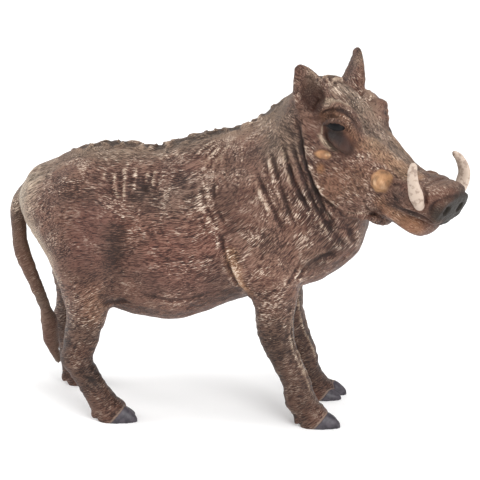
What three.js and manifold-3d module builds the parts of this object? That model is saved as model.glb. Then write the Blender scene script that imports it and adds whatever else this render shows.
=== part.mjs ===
// A moulded and painted warthog figure that stands on its four hooves, its head turned to its right.
// Units are millimetres. +X runs from rump to head, +Y to the animal's left and +Z up from the ground.
// The whole figure is one moulding, so every form below is joined into one closed solid.
import * as THREE from "three";
import { mergeVertices } from "three/addons/utils/BufferGeometryUtils.js";
import Module from "manifold-3d";

const wasm = await Module();
wasm.setup();

// Driving dimensions
const HEAD_TURN_DEG = 31; // how far the head turns to the animal's right
const HEAD_DROP_DEG = 27; // how far the brow line slopes down to the snout
const HEAD_TILT_DEG = 4.5; // how far the head leans over to its left
const HEAD_ORIGIN = [15.6, -0.7, 68]; // where the skull meets the neck
const FORE_FOOT_SIDE = 8.3; // from the middle plane to the middle of a fore hoof
const HIND_FOOT_SIDE = 10.5;
const RIGHT = -1;
const LEFT = 1;

// A frame of three unit vectors, with axis x side = up
function frame(origin, axis, side) {
  const [a, s] = [new THREE.Vector3(...axis).normalize(), new THREE.Vector3(...side)];
  s.addScaledVector(a, -s.dot(a)).normalize();
  return { origin: new THREE.Vector3(...origin), axis: a, side: s, up: new THREE.Vector3().crossVectors(a, s) };
}

const ALONG = frame([0, 0, 0], [1, 0, 0], [0, 1, 0]);
const UPRIGHT = frame([0, 0, 0], [0, 0, 1], [0, -1, 0]);
const turn = THREE.MathUtils.degToRad(HEAD_TURN_DEG);
const drop = THREE.MathUtils.degToRad(HEAD_DROP_DEG);
const tilt = THREE.MathUtils.degToRad(HEAD_TILT_DEG);
const HEAD = frame(
  HEAD_ORIGIN,
  [Math.cos(turn) * Math.cos(drop), -Math.sin(turn) * Math.cos(drop), -Math.sin(drop)],
  [Math.sin(turn), Math.cos(turn), -Math.tan(tilt)],
);

// A point given along a frame's axis, side and up
function place(f, [along, side, up]) {
  const point = f.origin.clone().addScaledVector(f.axis, along);
  return point.addScaledVector(f.side, side).addScaledVector(f.up, up);
}

// The row at t, smoothly between the rows of a table that is sorted by its first column
function rowAt(rows, t) {
  const last = rows.length - 1;
  if (t <= rows[0][0]) return rows[0];
  if (t >= rows[last][0]) return rows[last];
  const i = rows.findIndex((row) => row[0] > t) - 1;
  const [a, b, c, d] = [rows[Math.max(i - 1, 0)], rows[i], rows[i + 1], rows[Math.min(i + 2, last)]];
  const span = c[0] - b[0];
  const s = (t - b[0]) / span;
  return b.map((value, k) => {
    const slopeIn = ((c[k] - a[k]) / (c[0] - a[0])) * span;
    const slopeOut = ((d[k] - b[k]) / (d[0] - b[0])) * span;
    const rising = value * (1 + 2 * s) * (1 - s) ** 2 + slopeIn * s * (1 - s) ** 2;
    return rising + c[k] * s * s * (3 - 2 * s) + slopeOut * s * s * (s - 1);
  });
}

// A closed three.js geometry as a solid that can be joined and cut
function solidOf(geometry) {
  geometry.deleteAttribute("normal");
  geometry.deleteAttribute("uv");
  const merged = mergeVertices(geometry, 1e-4);
  return new wasm.Manifold(
    new wasm.Mesh({
      numProp: 3,
      vertProperties: new Float32Array(merged.attributes.position.array),
      triVerts: new Uint32Array(merged.index.array),
    }),
  );
}

// A sphere whose rows of points are moved by the given rule, with the first and the last row as its poles
function moulded(rows, sides, rule) {
  const geometry = new THREE.SphereGeometry(1, sides, rows - 1);
  const position = geometry.attributes.position;
  for (let row = 0; row < rows; row++) {
    for (let column = 0; column <= sides; column++) {
      const point = rule(row, Math.PI - (2 * Math.PI * (column % sides)) / sides);
      position.setXYZ(row * (sides + 1) + column, point.x, point.y, point.z);
    }
  }
  return solidOf(geometry);
}

// Distances along a form for its rings, with the share of the full section at each. A cap of length 0 is flat.
function ringPlan(from, to, [startCap, endCap], count, capRings = 3) {
  const plan = [];
  for (let i = 0; i < capRings; i++) {
    const angle = (i / capRings) * (Math.PI / 2);
    if (startCap > 0 || i === 0) plan.push([from + startCap * (1 - Math.cos(angle)), Math.sin(angle)]);
  }
  for (let i = 0; i <= count; i++) {
    plan.push([from + startCap + ((to - endCap - from - startCap) * i) / count, 1]);
  }
  for (let i = capRings - 1; i >= 0; i--) {
    const angle = (i / capRings) * (Math.PI / 2);
    if (endCap > 0 || i === 0) plan.push([to - endCap * (1 - Math.cos(angle)), Math.sin(angle)]);
  }
  return plan;
}

// A closed skin over sections that stand across a straight axis
// Each row of the table is [distance, side, low, high, half width, squareness, narrowing to the top]
function loft(f, rows, { caps = [2, 2], rings = 20, sides = 16 } = {}) {
  const plan = ringPlan(rows[0][0], rows[rows.length - 1][0], caps, rings);
  return moulded(plan.length, sides, (ring, angle) => {
    const [t, share] = plan[ring];
    const [, offset, low, high, halfWidth, squareness, narrowing] = rowAt(rows, t);
    const across = Math.sign(Math.cos(angle)) * Math.abs(Math.cos(angle)) ** (2 / squareness);
    const upward = Math.sign(Math.sin(angle)) * Math.abs(Math.sin(angle)) ** (2 / squareness);
    const side = offset + across * halfWidth * (1 - narrowing * upward) * share;
    return place(f, [t, side, (low + high) / 2 + (upward * share * (high - low)) / 2]);
  });
}

// A closed round cord through points of a frame, each of them [along, side, up, radius]
function cord(f, points, { steps = 12, sides = 6 } = {}) {
  const path = new THREE.CatmullRomCurve3(points.map((point) => place(f, point)));
  const girth = points.map(([, , , radius], i) => [i / (points.length - 1), radius]);
  const { normals, binormals } = path.computeFrenetFrames(steps, false);
  return moulded(steps + 3, sides, (ring, angle) => {
    const step = Math.min(Math.max(ring - 1, 0), steps);
    const middle = path.getPointAt(step / steps);
    const radius = ring === 0 || ring === steps + 2 ? 0 : rowAt(girth, path.getUtoTmapping(step / steps))[1];
    const end = ring === 0 ? -1 : ring === steps + 2 ? 1 : 0;
    const reach = end * 0.6 * girth[end < 0 ? 0 : girth.length - 1][1];
    middle.addScaledVector(path.getTangentAt(step / steps), reach);
    middle.addScaledVector(normals[step], radius * Math.cos(angle));
    return middle.addScaledVector(binormals[step], radius * Math.sin(angle));
  });
}

// An ellipsoid in a frame: its middle, its three half lengths, and how far its front is tipped down
function ball(f, [along, side, up], halfLengths, { tip = 0, detail = [8, 6] } = {}) {
  const geometry = new THREE.SphereGeometry(1, ...detail);
  geometry.scale(...halfLengths);
  geometry.rotateY(THREE.MathUtils.degToRad(tip));
  geometry.applyMatrix4(new THREE.Matrix4().makeBasis(f.axis, f.side, f.up));
  geometry.translate(...place(f, [along, side, up]).toArray());
  return solidOf(geometry);
}

// Trunk and neck, from the rump to the throat: [x, side, belly, back, half width, squareness, narrowing]
const BODY = [
  [-48.8, 0, 42.5, 53, 7.5, 2.1, 0.05],
  [-46, 0, 38.2, 55.8, 10.6, 2.1, 0.08],
  [-42, 0, 34, 58.1, 13, 2.1, 0.1],
  [-36, 0, 28.6, 60.4, 14.6, 2.1, 0.12],
  [-30, 0, 24.8, 61.8, 15.4, 2.15, 0.14],
  [-24, 0, 22.8, 62.1, 16, 2.2, 0.15],
  [-18, 0, 22.3, 62.1, 16.8, 2.2, 0.15],
  [-12, 0, 22.6, 63, 17.2, 2.2, 0.15],
  [-6, 0, 24.6, 64.8, 17, 2.2, 0.15],
  [0, 0, 27.4, 66.7, 16.4, 2.2, 0.16],
  [5, -0.1, 29, 69, 15.8, 2.15, 0.18],
  [10, -0.4, 30, 72.6, 15.1, 2.15, 0.2],
  [15, -0.9, 31, 76.3, 14.2, 2.1, 0.22],
  [20, -1.6, 32.8, 78, 13, 2.1, 0.22],
  [24, -2.4, 35.6, 77, 11.8, 2.1, 0.2],
  [27, -3, 38.6, 73, 10.6, 2.1, 0.15],
  [31, -3.8, 43, 64, 8.6, 2.1, 0.1],
];

// The skull and snout in the head's frame, to the flat disc of the nose
const SKULL = [
  [-5, 0, -7, 9.6, 7, 2.1, 0.05],
  [0, 0, -9.3, 11.9, 9.4, 2.2, 0.05],
  [5, 0, -10, 12, 10.1, 2.4, 0.08],
  [10, 0, -10.2, 11.2, 10.1, 2.6, 0.1],
  [15, 0, -10, 10, 9.5, 2.9, 0.08],
  [19.5, -0.1, -9.7, 9.2, 8.7, 3, 0.08],
  [23, -0.2, -7.6, 8.8, 7.9, 2.8, 0.12],
  [27, -0.3, -3.4, 8.7, 7.1, 2.4, 0.18],
  [31, -0.5, -0.4, 9.1, 7, 2.4, 0.15],
  [34, -0.7, 1.4, 10.2, 7, 2.5, 0.1],
  [37, -0.9, 1.9, 11.5, 6.2, 2.5, 0.05],
  [39.2, -1, 2.3, 11.1, 5.6, 2.5, 0],
  [40.4, -1, 2.7, 10, 5.2, 2.4, 0],
];

// The lower jaw, in the same frame
const JAW = [
  [8, 0, -9.2, -1, 7, 2.2, 0],
  [14, 0, -9.4, 0, 7.6, 2.2, 0],
  [18, 0, -8.9, 1, 7.3, 2.2, 0],
  [22, 0, -7.6, 2, 6.6, 2.2, 0],
  [26, 0, -6.3, 3, 6, 2.2, 0],
  [30, -0.4, -5.3, 3.4, 5.6, 2.2, 0],
  [33, -0.6, -4.6, 3.2, 5.3, 2.2, 0],
  [36, -0.8, -3.4, 3, 4.8, 2.2, 0],
  [38.8, -1, -1.2, 2.6, 3.8, 2.2, 0],
];

// A fore leg, from inside the hoof to inside the shoulder: [z, lean out, back, front, half width, ...]
const FORE_LEG = [
  [0.8, 0, 15, 22, 3, 2.3, 0],
  [3, 0, 13.2, 21.6, 3.3, 2.3, 0],
  [5, 0.1, 12.4, 20, 3.3, 2.2, 0],
  [7.5, 0.2, 11.9, 18.4, 3, 2.1, 0],
  [10, 0.4, 11.3, 17.8, 3, 2.1, 0],
  [13, 0.7, 10, 16.8, 3.3, 2.1, 0],
  [17, 1.1, 7.9, 15.2, 3.6, 2.1, 0],
  [21, 1.5, 6.3, 14.3, 3.9, 2.1, 0],
  [26, 2, 5.7, 14.3, 4.6, 2.1, 0],
  [31, 2.5, 3.2, 15, 5.3, 2.1, 0],
  [37, 2.9, -0.8, 15.6, 5.8, 2.1, 0],
  [44, 2.5, -2.6, 14.8, 5.4, 2.1, 0],
  [51, 1.4, -2, 12.6, 4.4, 2.1, 0],
  [57, -0.4, 0, 9.6, 3, 2.1, 0],
];

// The right hind leg by height
const RIGHT_HIND_LEG = [
  [0.8, 0, -31.2, -24.4, 3, 2.3, 0],
  [3, 0, -33, -24.8, 3.2, 2.3, 0],
  [5, 0, -33.8, -26.6, 3.1, 2.2, 0],
  [8, 0, -35.2, -28.8, 2.8, 2.1, 0],
  [11, 0.1, -37, -30.4, 2.8, 2.1, 0],
  [14.2, 0.3, -38.8, -31.3, 3.1, 2.1, 0],
  [17, 0.4, -38.2, -31.2, 3.3, 2.1, 0],
  [20.5, 0.6, -37.9, -30.2, 3.7, 2.1, 0],
  [24, 0.9, -38, -28.4, 4.3, 2.1, 0],
  [28, 1.2, -38.6, -26.2, 5, 2.1, 0],
  [33, 1.3, -40, -24.2, 5.6, 2.1, 0],
  [39, 1, -42.4, -23.8, 5.8, 2.1, 0],
  [45, 0, -43.8, -25.2, 5, 2.1, 0],
  [51, -2, -42.5, -28, 3.4, 2.1, 0],
];

// The left hind leg, which stands further back and more upright
const LEFT_HIND_LEG = [
  [0.8, 0, -42, -35.2, 3, 2.3, 0],
  [3, 0, -43, -35.4, 3.2, 2.3, 0],
  [5, 0, -43.4, -36.6, 3.1, 2.2, 0],
  [8, 0, -43.9, -38, 2.8, 2.1, 0],
  [11, 0.1, -44.2, -38.2, 2.8, 2.1, 0],
  [14.2, 0.3, -44.7, -37.8, 3.1, 2.1, 0],
  [17, 0.4, -44.9, -37.2, 3.3, 2.1, 0],
  [20.5, 0.6, -44.3, -35.8, 3.7, 2.1, 0],
  [24, 0.9, -43.6, -33.4, 4.3, 2.1, 0],
  [28, 1.2, -43.2, -30, 5, 2.1, 0],
  [33, 1.3, -43.4, -26.4, 5.6, 2.1, 0],
  [39, 1, -43.8, -24.4, 5.8, 2.1, 0],
  [45, 0, -44.2, -25.2, 5, 2.1, 0],
  [51, -2, -42.5, -28, 3.4, 2.1, 0],
];

// One claw of a hoof about the middle of the leg's lowest ring: [z, lean out, heel, toe, half width, ...]
const CLAW = [
  [0, 0, -3, 6.1, 1.85, 2.2, 0],
  [1.2, 0, -3.1, 5.9, 1.9, 2.2, 0],
  [2.6, -0.1, -2.9, 4.6, 1.8, 2.2, 0],
  [4.2, -0.3, -2.5, 2.4, 1.4, 2.2, 0],
];

// The tail, from its root down to the tip of its tuft: [x, side, z, radius]
const TAIL = [
  [-44.5, 0, 53, 2],
  [-48.2, 0, 50.8, 1.8],
  [-49.9, 0, 46.5, 1.4],
  [-50.1, 0, 41, 1.25],
  [-49.3, 0, 36, 1.15],
  [-48, 0, 31.3, 1.05],
  [-46.3, 0, 26.5, 1],
  [-44.7, 0, 22.3, 1.3],
  [-43.7, 0, 18.6, 1.9],
  [-42.8, 0, 15, 1.7],
  [-41.9, 0, 11.8, 1],
  [-41.1, 0, 9.6, 0.5],
];

// A tusk in the head's frame, from inside the lip to its tip: [along, side, up, radius]
const TUSK = [
  [35, 5.6, 3.6, 1.3],
  [34.8, 7.8, 5.2, 1.45],
  [33.8, 9.6, 7.8, 1.35],
  [32.4, 10.6, 10.2, 1.15],
  [31.2, 10.3, 12, 0.95],
  [30.2, 9.4, 13.5, 0.65],
];

// An ear by its length, from inside the skull to its tip: [distance, shift of its middle, ...]
const EAR = [
  [-2.5, 0, -1.8, 1.8, 3.4, 2, 0],
  [0, 0, -1.9, 1.9, 4.2, 2, 0],
  [2.5, -0.1, -1.6, 1.6, 4.1, 2, 0],
  [4.8, -0.4, -1.2, 1.2, 3.2, 2, 0],
  [6.8, -0.8, -0.9, 0.9, 2.2, 2, 0],
  [9, -1.4, -0.5, 0.5, 0.8, 2, 0],
];

function hoof(x, y) {
  return [-1, 1].flatMap((half) => {
    const rows = CLAW.map(([z, lean, heel, toe, ...rest]) => [
      z,
      -y + half * (1.85 + lean),
      x + heel,
      x + toe,
      ...rest,
    ]);
    const claw = loft(UPRIGHT, rows, { caps: [0, 1.2], rings: 3, sides: 8 });
    const dewclawAt = [2.6, -y + half * 1.7, x - 3.9];
    const dewclaw = ball(UPRIGHT, dewclawAt, [2.4, 1.2, 1.4], { tip: -25, detail: [6, 5] });
    return [claw, dewclaw];
  });
}

// A leg with its hoof, the table's lean taken outward from the foot
function leg(rows, footSide, side) {
  const placed = rows.map(([z, lean, ...rest]) => [z, -side * (footSide + lean), ...rest]);
  const x = (rows[0][2] + rows[0][3]) / 2;
  return [loft(UPRIGHT, placed, { caps: [0.4, 3], rings: 14, sides: 12 }), ...hoof(x, side * footSide)];
}

// A direction given along the head's axis, side and up
function inHead(direction) {
  return place(HEAD, direction).sub(HEAD.origin).toArray();
}

function ear(side) {
  const root = place(HEAD, [3.2, side * 8.2, 9.6]).toArray();
  const f = frame(root, inHead([-0.52, side * 0.22, 0.83]), inHead([0.85, -side * 0.35, 0.4]));
  const hollow = ball(f, [3.2, -0.4, side * 1.9], [4, 2.3, 1.7], { detail: [10, 8] });
  return loft(f, EAR, { caps: [0, 1], rings: 6, sides: 10 }).subtract(hollow);
}

// Hairs that stand out along the edge of the jaw
const WHISKERS = [
  [11, 8.2, -7, 0.9],
  [15.5, 8, -8.2, 1.1],
  [20, 7.6, -8.4, 1.1],
  [25, 6.6, -6, 0.7],
];

function outward(points, side) {
  return points.map(([along, out, up, radius]) => [along, side * out, up, radius]);
}

// The forms that a side of the head has: brow, eye, pouch below it, warts, lip, tusk and whiskers on the jaw
function face(side) {
  return [
    ball(HEAD, [10.8, side * 6, 10.2], [4.2, 2.2, 2], { tip: 24 }),
    ball(HEAD, [10.3, side * 8, 7.7], [2.2, 2.1, 1.7], { tip: 20 }),
    ball(HEAD, [12.8, side * 7.6, 5.6], [3.6, 2.2, 1.9], { tip: 35 }),
    ball(HEAD, [11.6, side * 9.7, 2], [1.8, 1.4, 1.3], { detail: [8, 6] }),
    ball(HEAD, [26, side * 7.4, 5], [2, 2, 2.5]),
    ball(HEAD, [33, side * 5.2, 5.4], [4.2, 3.2, 3.2], { tip: -10 }),
    cord(HEAD, outward(WHISKERS, side), { steps: 5 }),
    cord(HEAD, outward(TUSK, side), { steps: 8, sides: 7 }),
    ear(side),
  ];
}

// The folds of skin on a side of the neck and behind the shoulder, each through points [x, z]
const FOLDS = [
  [[14.6, 68.3], [15.7, 63.6], [17.5, 58.8], [19.2, 55], [21.6, 51]],
  [[12.4, 68], [13.6, 63.7], [15.5, 58.6], [17.6, 54.6]],
  [[10.2, 67], [11.3, 62.3], [13.1, 57.5], [15.2, 53]],
  [[7.2, 63.5], [8.7, 59.6], [10.8, 55], [12.3, 51]],
  [[-4.6, 60], [-4.3, 55.5], [-2.5, 50.8], [-0.8, 47.6]],
  [[-7.4, 60], [-7.2, 55], [-5.2, 50.4], [-3.2, 46.8]],
];

// The distance of the trunk's skin from the middle plane
function skinSide(side, x, z) {
  const [, offset, low, high, halfWidth, squareness, narrowing] = rowAt(BODY, x);
  const h = (2 * z - low - high) / (high - low);
  const across = (1 - Math.abs(h) ** squareness) ** (1 / squareness);
  return offset + side * across * halfWidth * (1 - narrowing * h);
}

function fold(side, path) {
  const points = path.map(([x, z], i) => {
    const radius = i === 0 || i === path.length - 1 ? 0.6 : 1.15;
    return [x, skinSide(side, x, z) - side * 0.4, z, radius];
  });
  return cord(ALONG, points, { steps: 5, sides: 5 });
}

function nostril(side) {
  return ball(HEAD, [40.6, side * 2.7 - 1.4, 7.2], [1.6, 1, 1.2]);
}

const forms = [
  loft(ALONG, BODY, { caps: [3.5, 3], rings: 24, sides: 24 }),
  loft(HEAD, SKULL, { caps: [4, 0.5], rings: 20, sides: 20 }),
  loft(HEAD, JAW, { caps: [2, 1.6], rings: 12, sides: 16 }),
  ball(HEAD, [-0.3, 0, 10.8], [3, 3.4, 1.8]),
  cord(ALONG, TAIL, { steps: 20, sides: 7 }),
  ...leg(FORE_LEG, FORE_FOOT_SIDE, RIGHT),
  ...leg(FORE_LEG, FORE_FOOT_SIDE, LEFT),
  ...leg(RIGHT_HIND_LEG, HIND_FOOT_SIDE, RIGHT),
  ...leg(LEFT_HIND_LEG, HIND_FOOT_SIDE, LEFT),
  ...face(RIGHT),
  ...face(LEFT),
  ...FOLDS.map((path) => fold(RIGHT, path)),
  ...FOLDS.map((path) => fold(LEFT, path)),
];

const cuts = [nostril(RIGHT), nostril(LEFT)];

const joined = forms.reduce((whole, form) => whole.add(form));
const figure = cuts.reduce((whole, cut) => whole.subtract(cut), joined);

// A solid's surface as a three.js geometry, moved so that the origin is on the ground under the middle of its box
function geometryOf(solid) {
  const { vertProperties, triVerts } = solid.getMesh();
  const geometry = new THREE.BufferGeometry();
  geometry.setAttribute("position", new THREE.BufferAttribute(vertProperties, 3));
  geometry.setIndex(new THREE.BufferAttribute(triVerts, 1));
  geometry.computeBoundingBox();
  const middle = geometry.boundingBox.getCenter(new THREE.Vector3());
  geometry.translate(-middle.x, -middle.y, -geometry.boundingBox.min.z);
  geometry.computeVertexNormals();
  return geometry;
}

const painted = new THREE.MeshStandardMaterial({ color: 0x6b5146, roughness: 0.6, metalness: 0 });
const figureMesh = new THREE.Mesh(geometryOf(figure), painted);
figureMesh.name = "warthog_figure";

const part = new THREE.Group();
part.add(figureMesh);
export default part;
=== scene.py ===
"""The looks of a moulded and painted warthog figure: one skin, carved and painted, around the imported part."""

import itertools
import math

import bpy
import numpy as np
from mathutils import Matrix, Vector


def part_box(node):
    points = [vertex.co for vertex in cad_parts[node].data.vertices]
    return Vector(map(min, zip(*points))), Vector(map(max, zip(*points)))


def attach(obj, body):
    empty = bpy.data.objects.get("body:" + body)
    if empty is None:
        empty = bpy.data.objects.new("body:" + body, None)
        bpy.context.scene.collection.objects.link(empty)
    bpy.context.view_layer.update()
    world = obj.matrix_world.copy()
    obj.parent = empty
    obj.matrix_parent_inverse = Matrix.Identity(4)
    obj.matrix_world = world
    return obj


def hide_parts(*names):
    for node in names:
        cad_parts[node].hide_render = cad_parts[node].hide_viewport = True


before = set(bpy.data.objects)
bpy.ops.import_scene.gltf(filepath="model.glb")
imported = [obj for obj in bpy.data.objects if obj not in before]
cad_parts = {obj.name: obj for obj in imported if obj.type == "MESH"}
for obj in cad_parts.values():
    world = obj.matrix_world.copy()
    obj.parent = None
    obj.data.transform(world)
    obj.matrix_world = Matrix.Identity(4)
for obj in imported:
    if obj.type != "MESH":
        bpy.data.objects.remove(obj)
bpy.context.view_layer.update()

NODE = "warthog_figure"
MM = 0.001
DESIGN_LOW = np.array([-51.447, -27.621, 0.0])  # lowest corner of the solid in the numbers below, in mm
RIGHT, LEFT = -1, 1
COARSE, FINE = 0.58, 0.34  # the skin's grid steps in mm, the finer one on the head

# Frames


def unit(v):
    v = np.asarray(v, float)
    return v / np.linalg.norm(v)


class Frame:
    """An origin with the unit vectors axis, side and up, where axis x side = up."""

    def __init__(self, origin, axis, side):
        self.origin = np.asarray(origin, float)
        a = unit(axis)
        s = np.asarray(side, float)
        s = unit(s - a * s.dot(a))
        self.rows = np.array([a, s, np.cross(a, s)])

    def place(self, p):
        return self.origin + np.asarray(p, float) @ self.rows

    def turn(self, p):
        return np.asarray(p, float) @ self.rows

    def local(self, points):
        return (points - self.origin) @ self.rows.T


# The head's turn to the side, dip and lean.
turn, drop, tilt = (math.radians(angle) for angle in (31, 27, 4.5))
ALONG = Frame([0, 0, 0], [1, 0, 0], [0, 1, 0])
UPRIGHT = Frame([0, 0, 0], [0, 0, 1], [0, -1, 0])
HEAD = Frame(
    [15.6, -0.7, 68],
    [math.cos(turn) * math.cos(drop), -math.sin(turn) * math.cos(drop), -math.sin(drop)],
    [math.sin(turn), math.cos(turn), -math.tan(tilt)],
)
FRAMES = {"body": ALONG, "leg": ALONG, "head": HEAD}

# Tables. They began as the part's own, and some were refined here against the photograph.

BODY = [
    [-49, 0, 46, 53.6, 6.8, 2.1, 0.05],
    [-46, 0, 42.5, 55.8, 10.2, 2.1, 0.08],
    [-42, 0, 37.9, 57.5, 12.8, 2.1, 0.1],
    [-36, 0, 31.2, 60.4, 14.6, 2.1, 0.12],
    [-30, 0, 26, 62, 15.4, 2.15, 0.14],
    [-24, 0, 23.6, 62, 16, 2.2, 0.15],
    [-18, 0, 22.7, 61.6, 16.8, 2.2, 0.15],
    [-12, 0, 22.6, 63.3, 17.2, 2.2, 0.15],
    [-6, 0, 24.6, 65.2, 17, 2.2, 0.15],
    [0, 0, 27.4, 66.3, 16.4, 2.2, 0.16],
    [5, -0.1, 29, 68.6, 15.8, 2.15, 0.18],
    [10, -0.4, 30.2, 72.9, 15.1, 2.15, 0.2],
    [15, -0.9, 31.4, 75.8, 14.2, 2.1, 0.22],
    [20, -1.6, 33.4, 77, 13, 2.1, 0.22],
    [24, -2.4, 36.2, 76, 11.8, 2.1, 0.2],
    [27, -3, 39.2, 73, 10.6, 2.1, 0.15],
    [30.7, -3.8, 43.6, 64, 8.6, 2.1, 0.1],
]
SKULL = [
    [-5, 0, -7, 9.6, 7, 2.1, 0.05],
    [0, 0, -9.3, 11.9, 9.4, 2.2, 0.05],
    [5, 0, -10, 12, 10.1, 2.4, 0.08],
    [10, 0, -10.2, 11.2, 10.1, 2.6, 0.1],
    [15, 0, -10, 10, 9.5, 2.9, 0.08],
    [19.5, -0.1, -9.7, 9.2, 8.7, 3, 0.08],
    [23, -0.2, -7.6, 8.8, 7.9, 2.8, 0.12],
    [27, -0.3, -3.4, 8.7, 7.1, 2.4, 0.18],
    [31, -0.5, -0.4, 9.1, 7, 2.4, 0.15],
    [34, -0.7, 1.4, 10.2, 7, 2.5, 0.1],
    [37, -0.9, 1.9, 11.5, 6.2, 2.5, 0.05],
    [39.2, -1, 2.3, 11.1, 5.6, 2.5, 0],
    [40.4, -1, 2.7, 10, 5.2, 2.4, 0],
]
JAW = [
    [8, 0, -9.2, -1, 7, 2.2, 0],
    [14, 0, -9.4, 0, 7.6, 2.2, 0],
    [18, 0, -8.9, 1, 7.3, 2.2, 0],
    [22, 0, -7.1, 2, 6.6, 2.2, 0],
    [26, 0, -5.3, 3, 6, 2.2, 0],
    [30, -0.4, -3.9, 3.4, 5.6, 2.2, 0],
    [33, -0.6, -3.4, 3.2, 5.3, 2.2, 0],
    [36, -0.8, -2.9, 3, 4.8, 2.2, 0],
    [38.8, -1, -1.4, 2.6, 3.8, 2.2, 0],
]
# Legs from the ground up: [height, lean out, back, front, half width].
FORE_LEG = [
    [0.8, 0, 15.4, 22.4, 3],
    [3, 0, 13.6, 21.9, 3.3],
    [5, 0.1, 12.4, 20, 3.3],
    [7.5, 0.2, 12, 18.7, 3],
    [10, 0.4, 11.6, 18.1, 3],
    [13, 0.7, 10.2, 17.1, 3.3],
    [17, 1.1, 8.1, 15.4, 3.6],
    [21, 1.5, 6.4, 14.4, 3.9],
    [26, 2, 5.7, 14.3, 4.6],
    [29.5, 2.3, 5.4, 14.8, 5.0],
    [32.5, 2.6, 3.6, 15.2, 5.5],
    [37, 2.9, -0.1, 15.6, 5.8],
    [44, 2.5, -2.6, 14.8, 5.4],
    [51, 1.4, -2, 12.6, 4.4],
    [57, -0.4, 0, 9.6, 3],
]
# As above, with back and front given twice: for the right leg, then for the left.
HIND_LEGS = [
    [0.8, 0, -30.6, -23.8, -41.6, -35.6, 3],
    [3, 0, -32.3, -24.1, -43, -35.4, 3.2],
    [5, 0, -33.4, -26, -43.4, -36.6, 3.1],
    [8, 0, -35.2, -28.4, -43.9, -38, 2.8],
    [11, 0.1, -37, -30, -44.2, -38.2, 2.8],
    [14.2, 0.3, -38.8, -31.3, -44.7, -37.8, 3.1],
    [17, 0.4, -38.2, -30.5, -44.9, -37.2, 3.3],
    [20.5, 0.6, -37.7, -29.4, -44.3, -35.8, 3.7],
    [24, 0.9, -37, -28.3, -44.4, -33.4, 4.3],
    [28, 1.2, -37.2, -26.9, -45.2, -30, 5],
    [33, 1.3, -38.4, -25.6, -45.2, -26.4, 5.6],
    [39, 1, -39.8, -24.6, -44.6, -24.4, 5.8],
    [45, 0, -40.8, -25.2, -44.2, -25.2, 5],
    [51, -2, -42.5, -28, -42.5, -28, 3.4],
]
CLAW = [
    [0, 0, -3, 6.1, 1.85, 2.2, 0],
    [1.2, 0, -3.1, 5.9, 1.9, 2.2, 0],
    [2.6, -0.1, -2.9, 4.6, 1.8, 2.2, 0],
    [4.2, -0.3, -2.5, 2.4, 1.4, 2.2, 0],
]
TAIL = [
    [-45.2, 0, 51, 2.1],
    [-48.7, 0, 48.8, 1.9],
    [-50, 0, 45.4, 1.8],
    [-50, 0, 41, 1.75],
    [-49.5, 0, 36, 1.75],
    [-47.9, 0, 31.3, 1.65],
    [-46, 0, 26.5, 1.45],
    [-44.5, 0, 22.3, 1.4],
    [-43.6, 0, 18.6, 2],
    [-43.3, 0, 15, 1.9],
    [-42.6, 0, 11.8, 1.3],
    [-41.8, 0, 9.4, 0.6],
]
RIGHT_TUSK = [
    [35.7, 6.4, 5.0, 0.5],
    [35.6, 8.0, 6.3, 1.1],
    [34.8, 9.5, 8.2, 1.65],
    [33.3, 10.4, 10.4, 1.3],
    [32.0, 10.3, 12, 1.15],
    [31.1, 9.7, 13.3, 0.85],
]
LEFT_TUSK = [
    [35.3, 6.4, 4.6, 0.8],
    [35.5, 8.2, 6, 1.4],
    [34.9, 9.6, 8, 1.65],
    [34, 10, 10, 1.5],
    [32.6, 9.8, 11.4, 1.25],
    [31.2, 9.5, 12.2, 0.95],
    [30.2, 9.2, 12.4, 0.6],
]
EAR = [
    [-2.5, 0, -1.8, 1.8, 3.4, 2, 0],
    [0, 0, -1.9, 1.9, 4.2, 2, 0],
    [2.5, -0.1, -1.6, 1.6, 4.1, 2, 0],
    [4.8, -0.4, -1.2, 1.2, 3.2, 2, 0],
    [6.8, -1.0, -0.9, 0.9, 2.2, 2, 0],
    [8.8, -1.8, -0.6, 0.6, 1.1, 2, 0],
]
WHISKERS = [
    [11, 8.2, -7, 0.9], [15.5, 8, -8, 1.1], [19.5, 7.7, -7.4, 1],
    [23, 7.2, -6.2, 0.9], [26, 6, -4.9, 0.7], [28, 4.6, -4.4, 0.5],
]

# In the eye's frame.
UPPER_LID = [
    [-2.6, -0.1, -0.3, 0.35], [-1.5, 0.5, 1.05, 0.5], [0, 0.75, 1.6, 0.55],
    [1.4, 0.55, 1.2, 0.5], [2.6, 0.1, 0.2, 0.35],
]
LOWER_LID = [
    [-2.3, 0, -0.45, 0.2], [-1.2, 0.55, -0.95, 0.26], [0.2, 0.7, -1.05, 0.26],
    [1.5, 0.55, -0.75, 0.24], [2.5, 0.1, 0, 0.2],
]
BROW = [
    [5.2, 8.3, 8.2, 0.8], [5.4, 8.2, 10.0, 1.1], [6.6, 7.2, 11.2, 1.3],
    [8.6, 6.2, 11.7, 1.3], [10.6, 5.2, 11.4, 1.2], [13, 4.2, 10.2, 0.8],
]
TUFT = [
    [1.6, -5.4, 10.2, 0.6], [0.6, -3.4, 11.7, 0.8], [0.2, 0, 12.4, 0.9],
    [0.6, 3.2, 11.6, 0.7], [1.6, 5, 10.4, 0.5],
]

# Forms as distance fields


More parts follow.
